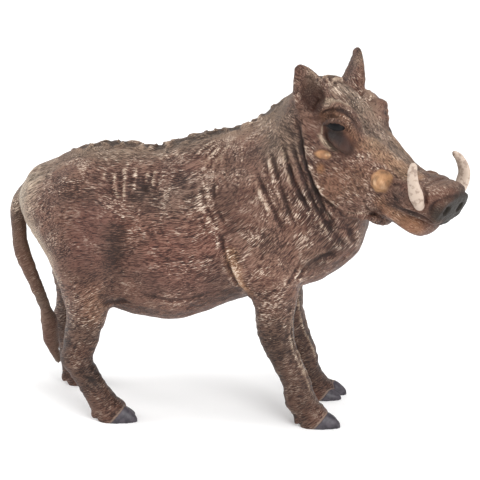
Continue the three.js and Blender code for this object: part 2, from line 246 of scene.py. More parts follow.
def smooth_table(rows, count=500):
    """The rows of a table, joined smoothly, at even steps of its first column."""
    rows = np.array(rows, float)
    t = np.linspace(rows[0, 0], rows[-1, 0], count)
    i = np.clip(np.searchsorted(rows[:, 0], t, side="right") - 1, 0, len(rows) - 2)
    a, b, c, d = (rows[np.clip(i + k, 0, len(rows) - 1)] for k in (-1, 0, 1, 2))
    span = (c[:, 0] - b[:, 0])[:, None]
    s = (t[:, None] - b[:, :1]) / span
    slope_in = (c - a) / (c[:, :1] - a[:, :1]) * span
    slope_out = (d - b) / (d[:, :1] - b[:, :1]) * span
    out = b * (1 + 2 * s) * (1 - s) ** 2 + slope_in * s * (1 - s) ** 2
    out += c * s * s * (3 - 2 * s) + slope_out * s * s * (s - 1)
    out[:, 0] = t
    return out


class Form:
    """A form with its distance rule and the box that holds it."""

    def __init__(self, rule, low, high, blend):
        self.rule, self.low, self.high, self.blend = rule, np.array(low), np.array(high), blend


def corners_box(f, low, high):
    pts = np.array([f.place([x, y, z]) for x, y, z in itertools.product(*zip(low, high))])
    return pts.min(0), pts.max(0)


def loft(f, rows, blend, caps=(2.0, 2.0)):
    """Sections: [distance along, side, low, high, half width, squareness, narrowing to the top]."""
    table = smooth_table(rows)
    start, end = table[0, 0], table[-1, 0]

    def rule(points):
        t, side, up = f.local(points).T
        tc = np.clip(t, start, end)
        columns = (np.interp(tc, table[:, 0], table[:, k]) for k in range(1, 7))
        offset, low, high, half_width, squareness, narrowing = columns
        middle, half = (low + high) / 2, (high - low) / 2
        u = up - middle
        s = side - offset
        b = np.abs(u) / half
        a = np.abs(s) / (half_width * (1 - narrowing * np.clip(u / half, -1, 1)))
        rho = (a**squareness + b**squareness) ** (1 / squareness) + 1e-6
        reach2 = s * s + u * u
        flat = np.full(len(t), -1e3)
        cap = np.zeros(len(t))
        cap_len = np.zeros(len(t))
        for edge, length, sign in ((start, caps[0], -1), (end, caps[1], 1)):
            past = sign * (t - edge)
            if length > 0:
                inside = np.maximum(past + length, 0) / length
                cap = np.maximum(cap, inside)
                cap_len = np.where(inside > 0, length, cap_len)
            else:
                flat = np.maximum(flat, past)
        whole = np.sqrt(rho * rho + cap * cap)
        d = np.sqrt(reach2 + (cap * cap_len) ** 2) * (1 - 1 / whole)
        d = np.where(reach2 + cap < 1e-9, -np.minimum(half, half_width), d)
        return np.maximum(d, flat)

    low = [start, (table[:, 1] - table[:, 4] * 1.3).min(), table[:, 2].min()]
    high = [end, (table[:, 1] + table[:, 4] * 1.3).max(), table[:, 3].max()]
    form = Form(rule, *corners_box(f, low, high), blend)
    form.frame = f
    return form


def smooth_path(points, per_span=6):
    """Points on a smooth curve through the given points, any number of columns."""
    p = np.array(points, float)
    p = np.vstack([2 * p[0] - p[1], p, 2 * p[-1] - p[-2]])
    out = []
    for i in range(1, len(p) - 2):
        a, b, c, d = p[i - 1], p[i], p[i + 1], p[i + 2]
        for s in np.arange(per_span) / per_span:
            bend, twist = 2 * a - 5 * b + 4 * c - d, 3 * b - a - 3 * c + d
            out.append(0.5 * (2 * b + (c - a) * s + bend * s**2 + twist * s**3))
    out.append(p[-2])
    return np.array(out)


def near_box(points, low, high, margin):
    """Which points lie in a box with a margin round it."""
    return np.where(((points > low - margin) & (points < high + margin)).all(1))[0]


def to_path(points, path):
    """Each point's distance to a path less its radius there, and how far along the path, from 0 to 1."""
    best = np.full(len(points), 1e9)
    along = np.zeros(len(points))
    n = len(path) - 1
    for i in range(n):
        a, b = path[i, :-1], path[i + 1, :-1]
        ab = b - a
        h = np.clip((points - a) @ ab / max(ab @ ab, 1e-9), 0, 1)
        radius = path[i, -1] * (1 - h) + path[i + 1, -1] * h
        d = np.linalg.norm(points - a - h[:, None] * ab, axis=1) - radius
        near = d < best
        best = np.where(near, d, best)
        along = np.where(near, (i + h) / n, along)
    return best, along


def cord(f, points, blend):
    path = smooth_path(points)
    path = np.hstack([f.place(path[:, :3]), path[:, 3:]])
    radius = path[:, 3].max()
    low, high = path[:, :3].min(0) - radius, path[:, :3].max(0) + radius
    return Form(lambda p: to_path(p, path)[0], low, high, blend)


def ball(f, middle, halves, blend, tip=0.0):
    """An ellipsoid whose front is tipped down by tip degrees."""
    t = math.radians(tip)
    tipped = np.array([[math.cos(t), 0, -math.sin(t)], [0, 1, 0], [math.sin(t), 0, math.cos(t)]])
    basis = tipped @ f.rows
    centre = f.place(middle)
    halves = np.array(halves, float)

    def rule(points):
        q = (points - centre) @ basis.T
        rho = np.linalg.norm(q / halves, axis=1) + 1e-6
        return np.linalg.norm(q, axis=1) * (1 - 1 / rho) + np.where(rho < 0.05, -halves.min(), 0)

    reach = np.abs(basis * halves[:, None]).sum(0)
    return Form(rule, centre - reach, centre + reach, blend)


def smooth_min(a, b, k):
    h = np.maximum(k - np.abs(a - b), 0)
    return np.minimum(a, b) - h * h / (4 * k)


def smooth_max(a, b, k):
    return -smooth_min(-a, -b, k)


# The figure's forms


RIGHT_HIND_LEG = [[z, lean, *right, half] for z, lean, *right, _, _, half in HIND_LEGS]
LEFT_HIND_LEG = [[z, lean, *left, half] for z, lean, _, _, *left, half in HIND_LEGS]


def leg_rows(rows, foot_side, side):
    """Rows for loft: a leg is squarer near the ground."""
    square = [2.3 if row[0] <= 3 else 2.2 if row[0] <= 5 else 2.1 for row in rows]
    return [[z, -side * (foot_side + lean), *rest, q, 0] for (z, lean, *rest), q in zip(rows, square)]


def hoof(x, y, side, stub):
    claws, dewclaws = [], []
    for half in (-1, 1):
        low, short = (0.75, 1.0) if half == side else (1, 0)  # the inner claw is the smaller one
        rows = [
            [z * low, -y + half * (1.6 + lean), x + heel, x + toe - short - stub, width, square, 0.3]
            for z, lean, heel, toe, width, square, _ in CLAW
        ]
        claws.append(loft(UPRIGHT, rows, 0.3, caps=(0, 1.2)))
        dewclaws.append(ball(UPRIGHT, [2.7, -y + half * 1.7, x - 3.1], [2.4, 1.1, 1.1], 0.5, tip=-25))
    return claws, dewclaws


LEGS = [
    (FORE_LEG, 8.3, RIGHT, 0),
    (FORE_LEG, 8.3, LEFT, 0),
    (RIGHT_HIND_LEG, 10.5, RIGHT, 0),
    (LEFT_HIND_LEG, 10.5, LEFT, 1.8),
]
legs, claws, dewclaws, feet = [], [], [], []
for rows, foot_side, side, stub in LEGS:
    legs.append(loft(UPRIGHT, leg_rows(rows, foot_side, side), 2.4, caps=(0.4, 3)))
    foot = ((rows[0][2] + rows[0][3]) / 2, side * foot_side)
    feet.append(foot)
    pair = hoof(*foot, side, stub)
    claws += pair[0]
    dewclaws += pair[1]


def outward(points, side):
    """Points with their second number turned to the given side."""
    return [[p[0], side * p[1], *p[2:]] for p in points]


def ear_frame(side):
    lean = -0.56 if side == RIGHT else -0.3
    return Frame(
        HEAD.place([3.2 if side == RIGHT else 1.9, side * 8.2, 9.6]),
        HEAD.turn([lean, side * 0.22, 0.83]),
        HEAD.turn([0.85, -side * 0.35, 0.4]),
    )


class Eye(Frame):
    """Along the slit of the eye, out of the head and up, for one side of the head."""

    def __init__(self, side):
        super().__init__(
            HEAD.place([10.7, side * 8.45, 8.75]),
            HEAD.turn([0.87, -side * 0.42, 0.25]),
            HEAD.turn([0.42, side * 0.9, 0.12]),
        )
        if self.rows[2].dot(HEAD.rows[2]) < 0:
            self.rows[2] *= -1


def flat_tusk(side):
    """A tusk that is wide from front to back and thin from side to side."""
    path = smooth_path(outward(RIGHT_TUSK if side == RIGHT else LEFT_TUSK, side))
    path = np.hstack([HEAD.place(path[:, :3]), path[:, 3:]])
    thin = HEAD.turn([-0.17, side * -0.98, 0.1])
    squeeze = 1.75

    def stretch(p):
        return p + (squeeze - 1) * (p @ thin)[:, None] * thin

    wide = np.hstack([stretch(path[:, :3]), path[:, 3:]])
    radius = path[:, 3].max()
    low, high = path[:, :3].min(0) - radius, path[:, :3].max(0) + radius
    return Form(lambda p: to_path(stretch(p), wide)[0] / 1.3, low, high, 0.12)


body = loft(ALONG, BODY, 0, caps=(3.5, 3))
skull = loft(HEAD, SKULL, 0, caps=(4, 0.5))
jaw = loft(HEAD, JAW, 0.5, caps=(2, 1.6))
tail = cord(ALONG, TAIL, 1.4)
eyes, lids, tusks, warts, ears, hollows, head_cuts = [], [], [], [], [], [], []
head_adds = [jaw, ball(HEAD, [-0.3, 0, 10.2], [3, 3.4, 1.6], 1.5)]
for s in (RIGHT, LEFT):
    eye = Eye(s)
    eyes.append(ball(eye, [0, -0.3, 0.15], [2.15, 1.4, 1.45], 0.05))
    lids.append(cord(eye, UPPER_LID, 0.6))
    lids.append(cord(eye, LOWER_LID, 0.2))
    tusks.append(flat_tusk(s))
    warts += [
        ball(HEAD, [11.5, s * 9.8, 2.1], [1.9, 1, 0.75], 0.7, tip=-25),
        ball(HEAD, [12.6, s * 9.1, -0.8], [0.9, 0.7, 0.8], 0.8),
        ball(HEAD, [25.4 if s == RIGHT else 29.4, s * 7.2, 4.7], [2.3, 2, 2.3], 0.9),
    ]
    ear = ear_frame(s)
    longer, narrower = (1, 1) if s == RIGHT else (1.06, 0.88)
    rows = [[t * longer, *rest[:3], rest[3] * narrower, *rest[4:]] for t, *rest in EAR]
    ears.append(loft(ear, rows, 1.2, caps=(0, 1)))
    hollows.append(ball(ear, [2.6, 0.5, s * 1.9], [4.4, 2.7, 2.0], 0.4))
    head_adds += [
        ball(HEAD, [10.8, s * 6.0, 10.2], [4.2, 2.2, 2], 1.6, tip=24),
        cord(HEAD, outward(BROW, s), 0.9),
        ball(HEAD, [13.0, s * 7.9, 6.3], [3.7, 1.9, 2.0], 0.5, tip=14),
        ball(HEAD, [29.4, s * 6.1, 4.9], [2.4, 1.7, 1.8], 0.8),
        ball(HEAD, [33, s * 5.2, 5.4], [4.2, 3.2, 3.2], 1.4, tip=-10),
        cord(HEAD, outward(WHISKERS, s), 1.0),
    ]
    head_cuts += [
        ball(eye, [0, 0.5, 0.1], [2.3, 1.2, 1.3], 0.5),
        ball(HEAD, [40.6, s * 2.7 - 1.4, 7.2], [1.6, 1.05, 1.3], 0.5),
    ]
head_adds.append(cord(HEAD, TUFT, 0.4))
head_adds.append(ball(HEAD, [17.7, 6, 6.9], [0.9, 0.9, 0.85], 0.6))
head_adds.append(ball(HEAD, [11.2, 5.6, 12.3], [1.5, 1.3, 1.2], 1.0))
head_adds.append(ball(HEAD, [25.6, 0, -5.4], [3.2, 4.5, 1.6], 0.8, tip=10))
head_adds += warts

body_adds = [
    *legs,
    *(ball(ALONG, [4.5, s * 8.5, 47], [8, 6.5, 12], 5.0) for s in (RIGHT, LEFT)),
    *(ball(ALONG, [-33, s * 8, 45], [8.6, 7, 12], 5.0) for s in (RIGHT, LEFT)),
    tail,
    *claws,
    *dewclaws,
]


def build_field(get, blank, head_height):
    """Joins every form. get(form, margin) gives where a form matters and its distances there."""

    def merge(into, form, cut=False, k=None):
        k = max(form.blend if k is None else k, 1e-3)
        where, d = get(form, k + 2.0)
        into[where] = smooth_max(into[where], -d, k) if cut else smooth_min(into[where], d, k)

    field = blank()
    merge(field, body)
    for form in body_adds:
        merge(field, form)
    head = blank()
    merge(head, skull)
    for form in head_adds:
        merge(head, form)
    for form in head_cuts:
        merge(head, form, cut=True)
    for form in lids + eyes:
        merge(head, form)
    for form, hollow in zip(ears, hollows):
        where, d = get(form, form.blend + 2)
        _, pit = get(hollow, 0, where)
        head[where] = smooth_min(head[where], smooth_max(d, -pit, hollow.blend), form.blend)
    field = smooth_min(field, head, 1.8 + 3.2 * np.clip((head_height - 1) / 8, 0, 1))
    for form in tusks:
        merge(field, form)
    return field


def field_at(points):
    """The distance of scattered points to the figure's skin, without its relief."""

    def get(form, margin, where=None):
        if where is None:
            where = near_box(points, form.low, form.high, margin)
        return where, form.rule(points[where])

    return build_field(get, lambda: np.full(len(points), 9.0), HEAD.local(points)[:, 2])


def gradient_at(points, step=0.08):
    """The field's gradient, from four samples."""
    out = np.zeros_like(points)
    for corner in ((1, -1, -1), (-1, -1, 1), (-1, 1, -1), (1, 1, 1)):
        c = np.array(corner, float)
        out += c * field_at(points + step * c)[:, None]
    return out / (4 * step)


def onto_skin(points, reach=0.4, rounds=2):
    """The points moved onto the skin along its slope, and the skin's normals there."""
    for _ in range(rounds):
        slope = gradient_at(points)
        size = (slope**2).sum(1) + 1e-6
        points = points - np.clip(field_at(points) / size, -reach, reach)[:, None] * slope
    return points, slope / np.sqrt(size)[:, None]


# The smooth skin


def planes(*stretches):
    """Grid planes over stretches (from, to, step)."""
    out = []
    for a, b, step in stretches:
        n = max(int(round((b - a) / step)), 1)
        out.append(a + (b - a) * np.arange(n) / n)
    out.append(np.array([stretches[-1][1]]))
    return np.concatenate(out)


def skin_mesh(coarse, fine):
    """Vertices and four-sided faces of the skin, from the field on a grid."""
    axes = (
        planes((-53.0, 14.0, coarse), (14.0, 53.6, fine)),
        planes((-29.5, 19.0, (coarse + fine) / 2)),
        planes((-1.0, 54.0, coarse), (54.0, 86.5, fine)),
    )
    shape = tuple(len(g) for g in axes)

    def get(form, margin, where=None):
        if where is None:
            spans = zip(axes, form.low - margin, form.high + margin)
            where = tuple(slice(*np.searchsorted(g, span)) for g, *span in spans)
        grids = np.meshgrid(*(g[w] for g, w in zip(axes, where)), indexing="ij")
        pts = np.stack([g.ravel() for g in grids], 1)
        return where, form.rule(pts).reshape(grids[0].shape).astype(np.float32)

    x, y, z = np.meshgrid(*axes, indexing="ij", sparse=True)
    o, r = HEAD.origin, HEAD.rows[2]
    height = ((x - o[0]) * r[0] + (y - o[1]) * r[1] + (z - o[2]) * r[2]).astype(np.float32)
    field = build_field(get, lambda: np.full(shape, 9.0, np.float32), height)

    inside = field < 0
    cells = tuple(n - 1 for n in shape)
    total = np.zeros(cells + (3,), np.float32)
    hits = np.zeros(cells, np.float32)
    crossings = []
    for axis in range(3):
        low_side = tuple(slice(0, -1) if a == axis else slice(None) for a in range(3))
        high_side = tuple(slice(1, None) if a == axis else slice(None) for a in range(3))
        at = np.argwhere(inside[low_side] != inside[high_side])
        crossings.append(at)
        beyond = at + np.eye(3, dtype=int)[axis]
        f0, f1 = field[tuple(at.T)], field[tuple(beyond.T)]
        p = np.stack([g[q] for g, q in zip(axes, at.T)], 1)
        g = axes[axis]
        p[:, axis] += f0 / (f0 - f1) * (g[beyond[:, axis]] - g[at[:, axis]])
        b, c = (axis + 1) % 3, (axis + 2) % 3
        for db in (0, -1):
            for dc in (0, -1):
                cell = at.copy()
                cell[:, b] += db
                cell[:, c] += dc
                np.add.at(total, tuple(cell.T), p)
                np.add.at(hits, tuple(cell.T), 1)
    used = hits > 0
    index = np.full(hits.shape, -1, np.int64)
    index[used] = np.arange(used.sum())
    faces = []
    for axis, at in enumerate(crossings):
        b, c = (axis + 1) % 3, (axis + 2) % 3
        quad = []
        for db, dc in ((-1, -1), (0, -1), (0, 0), (-1, 0)):
            cell = at.copy()
            cell[:, b] += db
            cell[:, c] += dc
            quad.append(index[tuple(cell.T)])
        quad = np.stack(quad, 1)
        flip = ~inside[tuple(at.T)]
        quad[flip] = quad[flip][:, ::-1]
        faces.append(quad)
    return (total[used] / hits[used][:, None]).astype(float), np.concatenate(faces)


verts, faces = skin_mesh(COARSE, FINE)
verts, normals = onto_skin(verts)

# Noise and flow

HAIR_DEPTH, TUFT_HEIGHT, CURL_DEPTH, LUMP_DEPTH = 0.17, 0.8, 0.14, 0.13  # of the relief, in mm
LEFT_DEPTH = 0.8  # the left side's lines against the right's
STROKES = {  # the size in mm of a painted stroke along each of its flow's three ways
    "trunk_flow": [1.7, 0.185, 0.17],
    "leg_flow": [0.18, 1.1, 1.1],
    "head_flow": [1.25, 0.165, 0.165],
}


def lattice(i, j, k, seed):
    n = (i * 73856093) ^ (j * 19349663) ^ (k * 83492791) ^ (seed * 265443576)
    n = (n & 0xFFFFFFFF) * 1274126177 & 0xFFFFFFFF
    n = (n ^ (n >> 15)) * 2246822519 & 0xFFFFFFFF
    return ((n ^ (n >> 13)) & 0xFFFF) / 32767.5 - 1


def noise(p, seed):
    """Smooth value noise from -1 to 1."""
    base = np.floor(p).astype(np.int64)
    f = p - base
    f = f * f * f * (f * (f * 6 - 15) + 10)
    out = np.zeros(len(p))
    for corner in range(8):
        c = np.array([corner & 1, corner >> 1 & 1, corner >> 2])
        w = np.prod(np.where(c, f, 1 - f), axis=1)
        out += w * lattice(*(base + c).T, seed)
    return out


def ease(x, low, high):
    t = np.clip((x - low) / (high - low), 0, 1)
    return t * t * (3 - 2 * t)


# How steeply the trunk's hair rises, by the place along the body in mm.
HAIR_SLOPES = [
    [-60, 1.1], [-42, 0.85], [-34, 0.55], [-26, 0.12], [-10, 0.1],
    [-2, 0.4], [6, 0.62], [14, 1.0], [24, 1.5], [60, 1.5],
]


def flows(p):
    """Hair coordinates in mm, long way first, of trunk, legs and head, with the legs' and head's shares."""
    x, y, z = p.T
    steps = np.array(HAIR_SLOPES)
    fine = np.linspace(-60, 60, 481)
    slope = np.interp(fine, steps[:, 0], steps[:, 1])
    rise = np.cumsum(slope) * (fine[1] - fine[0])
    lean = 1 / np.sqrt(1 + np.interp(x, fine, slope) ** 2)
    waves = 0.3 * noise(p / 3.6, 21) + 0.1 * noise(p / 1.5, 22)
    trunk = np.stack([x, y + waves, (z - np.interp(x, fine, rise)) * lean + waves], 1)
    leg = np.stack([z - 0.4 * x + waves, x, y], 1)
    head = HEAD.local(p) + 0.7 * waves[:, None]
    leg_share = ease(z, 42, 33) * ease(field_of(body, p), -0.6, 0.6)
    head_share = ease(field_of(skull_like, p), 1.6, 0.3)
    return trunk, leg, head, leg_share, head_share


def field_of(form, p):
    near = near_box(p, form.low, form.high, 4)
    out = np.full(len(p), 4.0)
    out[near] = form.rule(p[near])
    return out


def union(*forms):
    low = np.min([f.low for f in forms], axis=0)
    high = np.max([f.high for f in forms], axis=0)
    return Form(lambda p: np.min([field_of(f, p) for f in forms], axis=0), low, high, 0)


skull_like = union(skull, jaw, *ears)

# Carved relief


def leg_edge_line(rows, foot_side, side):
    """A line down the front of a leg, on its right hand, along the leg's edge, where a painted highlight runs.
    """
    return [
        [(low + high) / 2 + 0.82 * (high - low) / 2, side * (foot_side + lean) - 0.57 * half_width, z]
        for z, lean, low, high, half_width in rows
        if 6 < z < 36
    ]


LEG_EDGE_LINES = [leg_edge_line(*leg[:3]) for leg in LEGS[:2]]

# Lines on the right-hand side: height in mm (below nought is a groove), half width in mm, how far the rims
# beside the line go the other way as a share of the height, points in mm. The head's lines are mirrored to the
# left, and so are the body's where they keep off the middle. Many of the points were worked out by another
# program, which cast rays from places picked by hand in the photograph onto the solid.
BODY_CARVING = [
    (-0.6, 0.5, 0.6, [[13.6, -9.6, 72.5], [15.3, -11.6, 69.4], [16.4, -13.1, 63.4], [18, -14, 59.4],
        [19.9, -14.6, 55.2], [22.3, -14.6, 51], [25, -13.4, 46.6]]),
    (-0.55, 0.45, 0.6, [[13.3, -10.9, 67.3], [14.8, -12.4, 63.8], [17, -14.1, 58.3], [18.4, -14.8, 55],
        [20.6, -14.8, 51.4], [23, -14, 47.6]]),
    (-0.5, 0.45, 0.6, [[11.2, -8.8, 68.7], [12.4, -12.2, 63.6], [14.1, -14, 58.9], [16.6, -14.9, 54.7],
        [19, -15, 50.6]]),
    (-0.5, 0.5, 0.5, [[8.9, -10.3, 65.3], [10.3, -12.9, 60.9], [12, -14.5, 56.2], [13.5, -15.3, 52],
        [16, -15, 48]]),
    (-0.45, 0.55, 0.5, [[5.1, -11.2, 61.8], [7.1, -13.4, 58.4], [9.5, -14.9, 54], [10.7, -15.5, 51.3],
        [12.9, -15.6, 46.9]]),
    (-0.2, 0.5, 0.6, [[7.5, -11.5, 63.5], [8.6, -13.4, 59.4], [10.4, -14.6, 55.2], [12.2, -15.2, 50.6]]),
    (0.35, 0.4, 0.6, [[0.1, -5.3, 65.5], [-1.5, -8.3, 63.1], [-1.8, -10.2, 61.3], [-1.5, -11.5, 59.6]]),
    (0.3, 0.35, 0.6, [[-1, -6.2, 64.7], [-2.2, -8.4, 62.9], [-3.5, -10.7, 60.4], [-3.9, -11.6, 59]]),
    (0.35, 0.4, 0.6, [[-1.8, -6, 64.6], [-3.8, -8.1, 62.7], [-5.4, -9.9, 60.6], [-5.9, -11.4, 58.9]]),
    (0.3, 0.35, 0.6, [[-2.3, -5.1, 64.8], [-5, -7.2, 63], [-6.6, -9.5, 60.7]]),
    (0.3, 0.35, 0.6, [[-3, -4.5, 64.9], [-5.9, -5.9, 63.4], [-8.4, -8.2, 61.3]]),
    (-0.35, 0.4, 0.6, [[-5.7, -12.2, 57.6], [-5.5, -14, 54.8], [-3.5, -15.7, 50.6], [-1.5, -16.3, 47.7]]),
    (0.15, 0.35, 0.4, [[-6.6, -15.8, 51.6], [-5.1, -16.2, 48.4], [-3.7, -16.7, 46]]),
    (0.15, 0.35, 0.4, [[-5, -14.8, 52.9], [-3.1, -16, 49.4], [-0.5, -16.5, 46.6]]),
    (0.3, 0.45, 0.5, [[10.8, -10.2, 66.4], [12, -12, 63.8], [12.3, -13.2, 61.6], [13.5, -14.5, 58.4],
        [14.2, -14.5, 56.9]]),
    (0.3, 0.45, 0.5, [[8.1, -10.5, 64.3], [9, -12.2, 62], [9.6, -13.1, 60]]),
    (0.3, 0.5, 0.5, [[6.1, -13.5, 57.9], [7.3, -14.5, 55.6], [8.9, -15.2, 52.8], [9.9, -15.5, 51.1]]),
    (0.25, 0.4, 0.5, [[19.8, -14.9, 50.5], [21.8, -14.5, 47.8]]),
    (-0.35, 0.35, 0.6, [[-3.3, -12, 58.6], [-3, -14.1, 54.9], [-1.3, -15.6, 50.7], [-0.2, -16.1, 48.3]]),
    (-0.4, 0.4, 0.6, [[-6.8, -15.1, 51.9], [-5.2, -16.1, 49], [-4, -16.6, 46.3]]),
    (0.25, 0.4, 0.6, [[-28.3, -8.2, 58.6], [-28.1, -9.6, 57.2], [-27.8, -10.7, 56]]),
    (0.4, 0.45, 0.7, [[-26.1, -7.9, 59.1], [-25.6, -10.1, 57], [-25.2, -11.7, 54.7], [-24.4, -12.8, 53]]),
    (0.4, 0.45, 0.7, [[-23.6, -7.6, 59.6], [-23.4, -9.8, 57.4], [-23.2, -11.7, 54.8],
        [-22.8, -13.3, 52.3]]),
    (0.35, 0.4, 0.7, [[-21, -7.8, 59.5], [-21.1, -9.4, 57.9], [-21.1, -11.1, 56.1], [-21, -12.1, 54.5]]),
    (0.35, 0.4, 0.7, [[-18.2, -8.4, 59.1], [-18.4, -9.9, 57.6], [-18.4, -11.5, 55.8]]),
    (-0.35, 0.5, 0.3, [[-18.9, -10.6, 56.8], [-18.9, -12.5, 54.4]]),
    (0.3, 0.4, 0.7, [[-16.6, -8.5, 59.1], [-16.9, -10.4, 57.4], [-17.2, -12.1, 55.1],
        [-16.6, -13.2, 53.7]]),
    (-0.15, 2.0, 0.1, [[-24.1, -13.3, 51.8], [-24.4, -14.7, 48.3], [-24.8, -15.5, 44.4], [-25, -16, 40.4],
        [-24.7, -15.9, 35.8], [-23.8, -14.7, 31.2]]),
    (0.3, 0.4, 0, [[0.9, -16.3, 40.6], [2.2, -15.6, 37.6], [3.2, -15.2, 35.6], [4.6, -14.8, 33]]),
    (-0.45, 0.45, 0.6, [[-1.2, -16.4, 48.4], [-1, -16.5, 45.7], [-0.5, -16.6, 43], [0.5, -16.2, 39.7],
        [2.1, -15, 35.9], [3.4, -14.6, 33.3]]),
    (-0.4, 0.5, 0.6, [[12.7, -15.5, 35.4], [14.3, -14.2, 38], [16.8, -13.8, 41]]),
    (-0.4, 0.5, 0.6, [[14.7, -13.7, 36], [15.7, -12.6, 37.5], [17, -13.2, 39.6]]),
    (-0.5, 0.8, 0.3, [[17, -13.2, 39.6], [19.7, -13.2, 41.1], [22.3, -12.9, 42], [25.3, -12.6, 44.1]]),
    (-0.3, 0.5, 0.6, [[7.8, -16.1, 32.1], [9.5, -16.4, 34.1], [11.7, -16.1, 34.6]]),
    (-0.35, 0.6, 0.5, [[19.7, -15.2, 53.8], [21.4, -14.8, 50.1], [24, -13.8, 46.3], [26.5, -11.7, 43.4]]),
    (-0.35, 0.6, 0.5, [[25.5, -13.9, 49.5], [27, -12.8, 46.5], [27.8, -11, 43.7]]),
    (-0.4, 0.7, 0.4, [[-28.3, -16.3, 30.6], [-26.2, -13, 28.8], [-24.1, -13.5, 29.1],
        [-22.3, -14.5, 30.2]]),
    (-0.25, 0.6, 0.5, [[-21.6, -15.9, 33.6], [-17.1, -16.1, 31.9], [-11.6, -15.7, 31.1], [-6.1, -15, 32],
        [-1.2, -14.8, 34.5]]),
    (-0.3, 0.5, 0.5, [[-34.3, -13.5, 12.1], [-32.1, -13.1, 10.6], [-30, -12.4, 8.4]]),
    # A raised line down the front edge of the near fore leg, painted pale: a painted highlight along the edge.
    (0.3, 0.35, 0, [[14.6, -13.5, 34.5], [14.4, -12.9, 30.8], [14.3, -11.8, 25], [14.2, -10.8, 20],
        [15.0, -9.9, 17.2], [15.9, -10.2, 14.3], [17.2, -9.4, 11.4], [17.8, -9.8, 8.2]]),
]


def forehead_hair(row, s):
    """A line of hair along the forehead, s to the side: a groove or a ridge by turns, of uneven length."""
    line = [[2.6 + row % 3, s, 11.9], [7, 0.95 * s, 11.6], [12, 0.8 * s, 10.6], [16 + row % 4, 0.65 * s, 9.6]]
    return -0.22 if row % 2 else 0.2, 0.35, 0, line


HEAD_CARVING = [
    (-0.45, 0.45, 0.5, [[6.1, -8, 8.2], [6.4, -8.3, 9.5], [7.4, -8, 10.7], [9.1, -7.6, 11.6],
        [10.8, -7, 11.6], [12.3, -6.2, 10.8], [14, -5.6, 9.8]]),
    (-0.25, 0.35, 0.5, [[8.1, -8.4, 7.6], [8.8, -8.9, 8.8], [9.8, -8.7, 9.7], [11.2, -8.3, 10],
        [12.4, -8, 9.6], [13, -7.8, 9]]),
    (0.3, 0.3, 0, [[9, -9.4, 7.6], [10.3, -9.9, 7.8], [11.3, -9.6, 8.1], [12.1, -8.6, 8.6],
        [12.6, -8, 9.2]]),
    (0.1, 0.3, 0, [[9.9, -9.9, 7.2], [10.6, -9.5, 6.4], [12, -9.6, 5.9], [14, -9.3, 5.7]]),
    (0.25, 0.4, 0, [[7.4, -8.2, 7.6], [8.3, -8.7, 6.3], [9.2, -9.3, 5.1], [10.3, -9.5, 3.6]]),
    (-0.45, 0.45, 0.4, [[8.6, -9.3, 7.9], [9.2, -9.3, 6.3], [10.7, -9.3, 5.0], [12.6, -9.5, 4.6],
        [14.8, -9.1, 4.9], [16.8, -8, 5.9]]),
    (-0.3, 0.4, 0.5, [[8, -10.1, -0.3], [11, -10, -3], [13.2, -9.7, -5.2], [14.9, -9.2, -6.2],
        [16.9, -8.6, -6.6], [19.4, -8.1, -6.9], [21.9, -7.5, -6.9], [24.1, -7.1, -6.1], [26.4, -5.3, -4]]),
    (0.2, 0.4, 0, [[13.4, -9.8, -4.4], [15.8, -9, -5.4], [18, -8.7, -5.9], [20.3, -8.3, -5.9],
        [22.5, -7.8, -5.9], [24.4, -7.2, -4.9], [26.2, -5.6, -3.8]]),
    (-0.3, 0.35, 0.5, [[24, -8, -0.6], [25.2, -7.2, -2.4], [26.6, -6, -3.6]]),
    (-0.7, 0.5, 0.3, [[30.5, -7.4, 2.6], [32.8, -7.3, 2.8], [34.6, -7.4, 3.6], [36.2, -6.8, 3.9],
        [37.6, -6.2, 3.6], [39.2, -5.3, 3.4], [40.2, -2.4, 3.1], [40.2, 0, 3.1]]),
    (-0.5, 0.45, 0.4, [[33.2, -5.5, 8.8], [34.8, -6.3, 8.8], [35.9, -7, 7.8], [36.4, -7.3, 6.2],
        [36.2, -7.2, 5]]),
    (-0.3, 0.45, 0.5, [[38.9, -6, 4.6], [38, -6.8, 6.4], [37.9, -6.7, 8.2], [38.6, -5.6, 9.7],
        [39.6, -3.1, 10.5], [39.8, 0.9, 10.4]]),
    (-0.15, 0.35, 0.5, [[35.3, -6.4, 8.6], [35.6, -5.2, 10.2], [36, -2.6, 11.2], [36, 0.5, 11.2]]),
    (-0.15, 0.35, 0.5, [[33.6, -5.8, 8.8], [33.8, -4.2, 10], [34, -1, 10.4], [33.8, 2, 10]]),
    (-0.2, 0.35, 0.5, [[27.6, -8.5, 7.2], [29, -7.5, 7.2], [30.6, -7.3, 6.6]]),
    (-0.25, 0.35, 0.5, [[28.6, -8, 4.4], [30, -7.7, 4], [31.4, -7.5, 4.2]]),
    (0.35, 0.4, 0.8, [[2.2, -3.6, 11.6], [0.6, -2, 12.2], [-0.2, -0.4, 12.4], [0, 1.6, 12.2],
        [1.4, 3, 11.8]]),
    (0.3, 0.35, 0.8, [[2.8, -2.4, 11.8], [1.5, -1, 12.1], [1.2, 0.6, 12.1], [2.2, 1.8, 11.9]]),
    *(forehead_hair(row, s) for row, s in enumerate(np.arange(-5.2, -0.3, 0.62))),
]
# Raised lines down the fore legs' front edges, painted pale as a painted highlight.
LEG_CARVING = [(0.35, 0.4, 0.4, line) for line in LEG_EDGE_LINES]
CARVING = {"body": BODY_CARVING, "head": HEAD_CARVING, "leg": LEG_CARVING}


def on_side(part, line, side, per_span):
    """A table's line as a smooth path on one side of the figure."""
    return FRAMES[part].place(smooth_path(outward(line, -side), per_span))


def thin(path):
    """A path with no thickness."""
    return np.hstack([path, np.zeros((len(path), 1))])


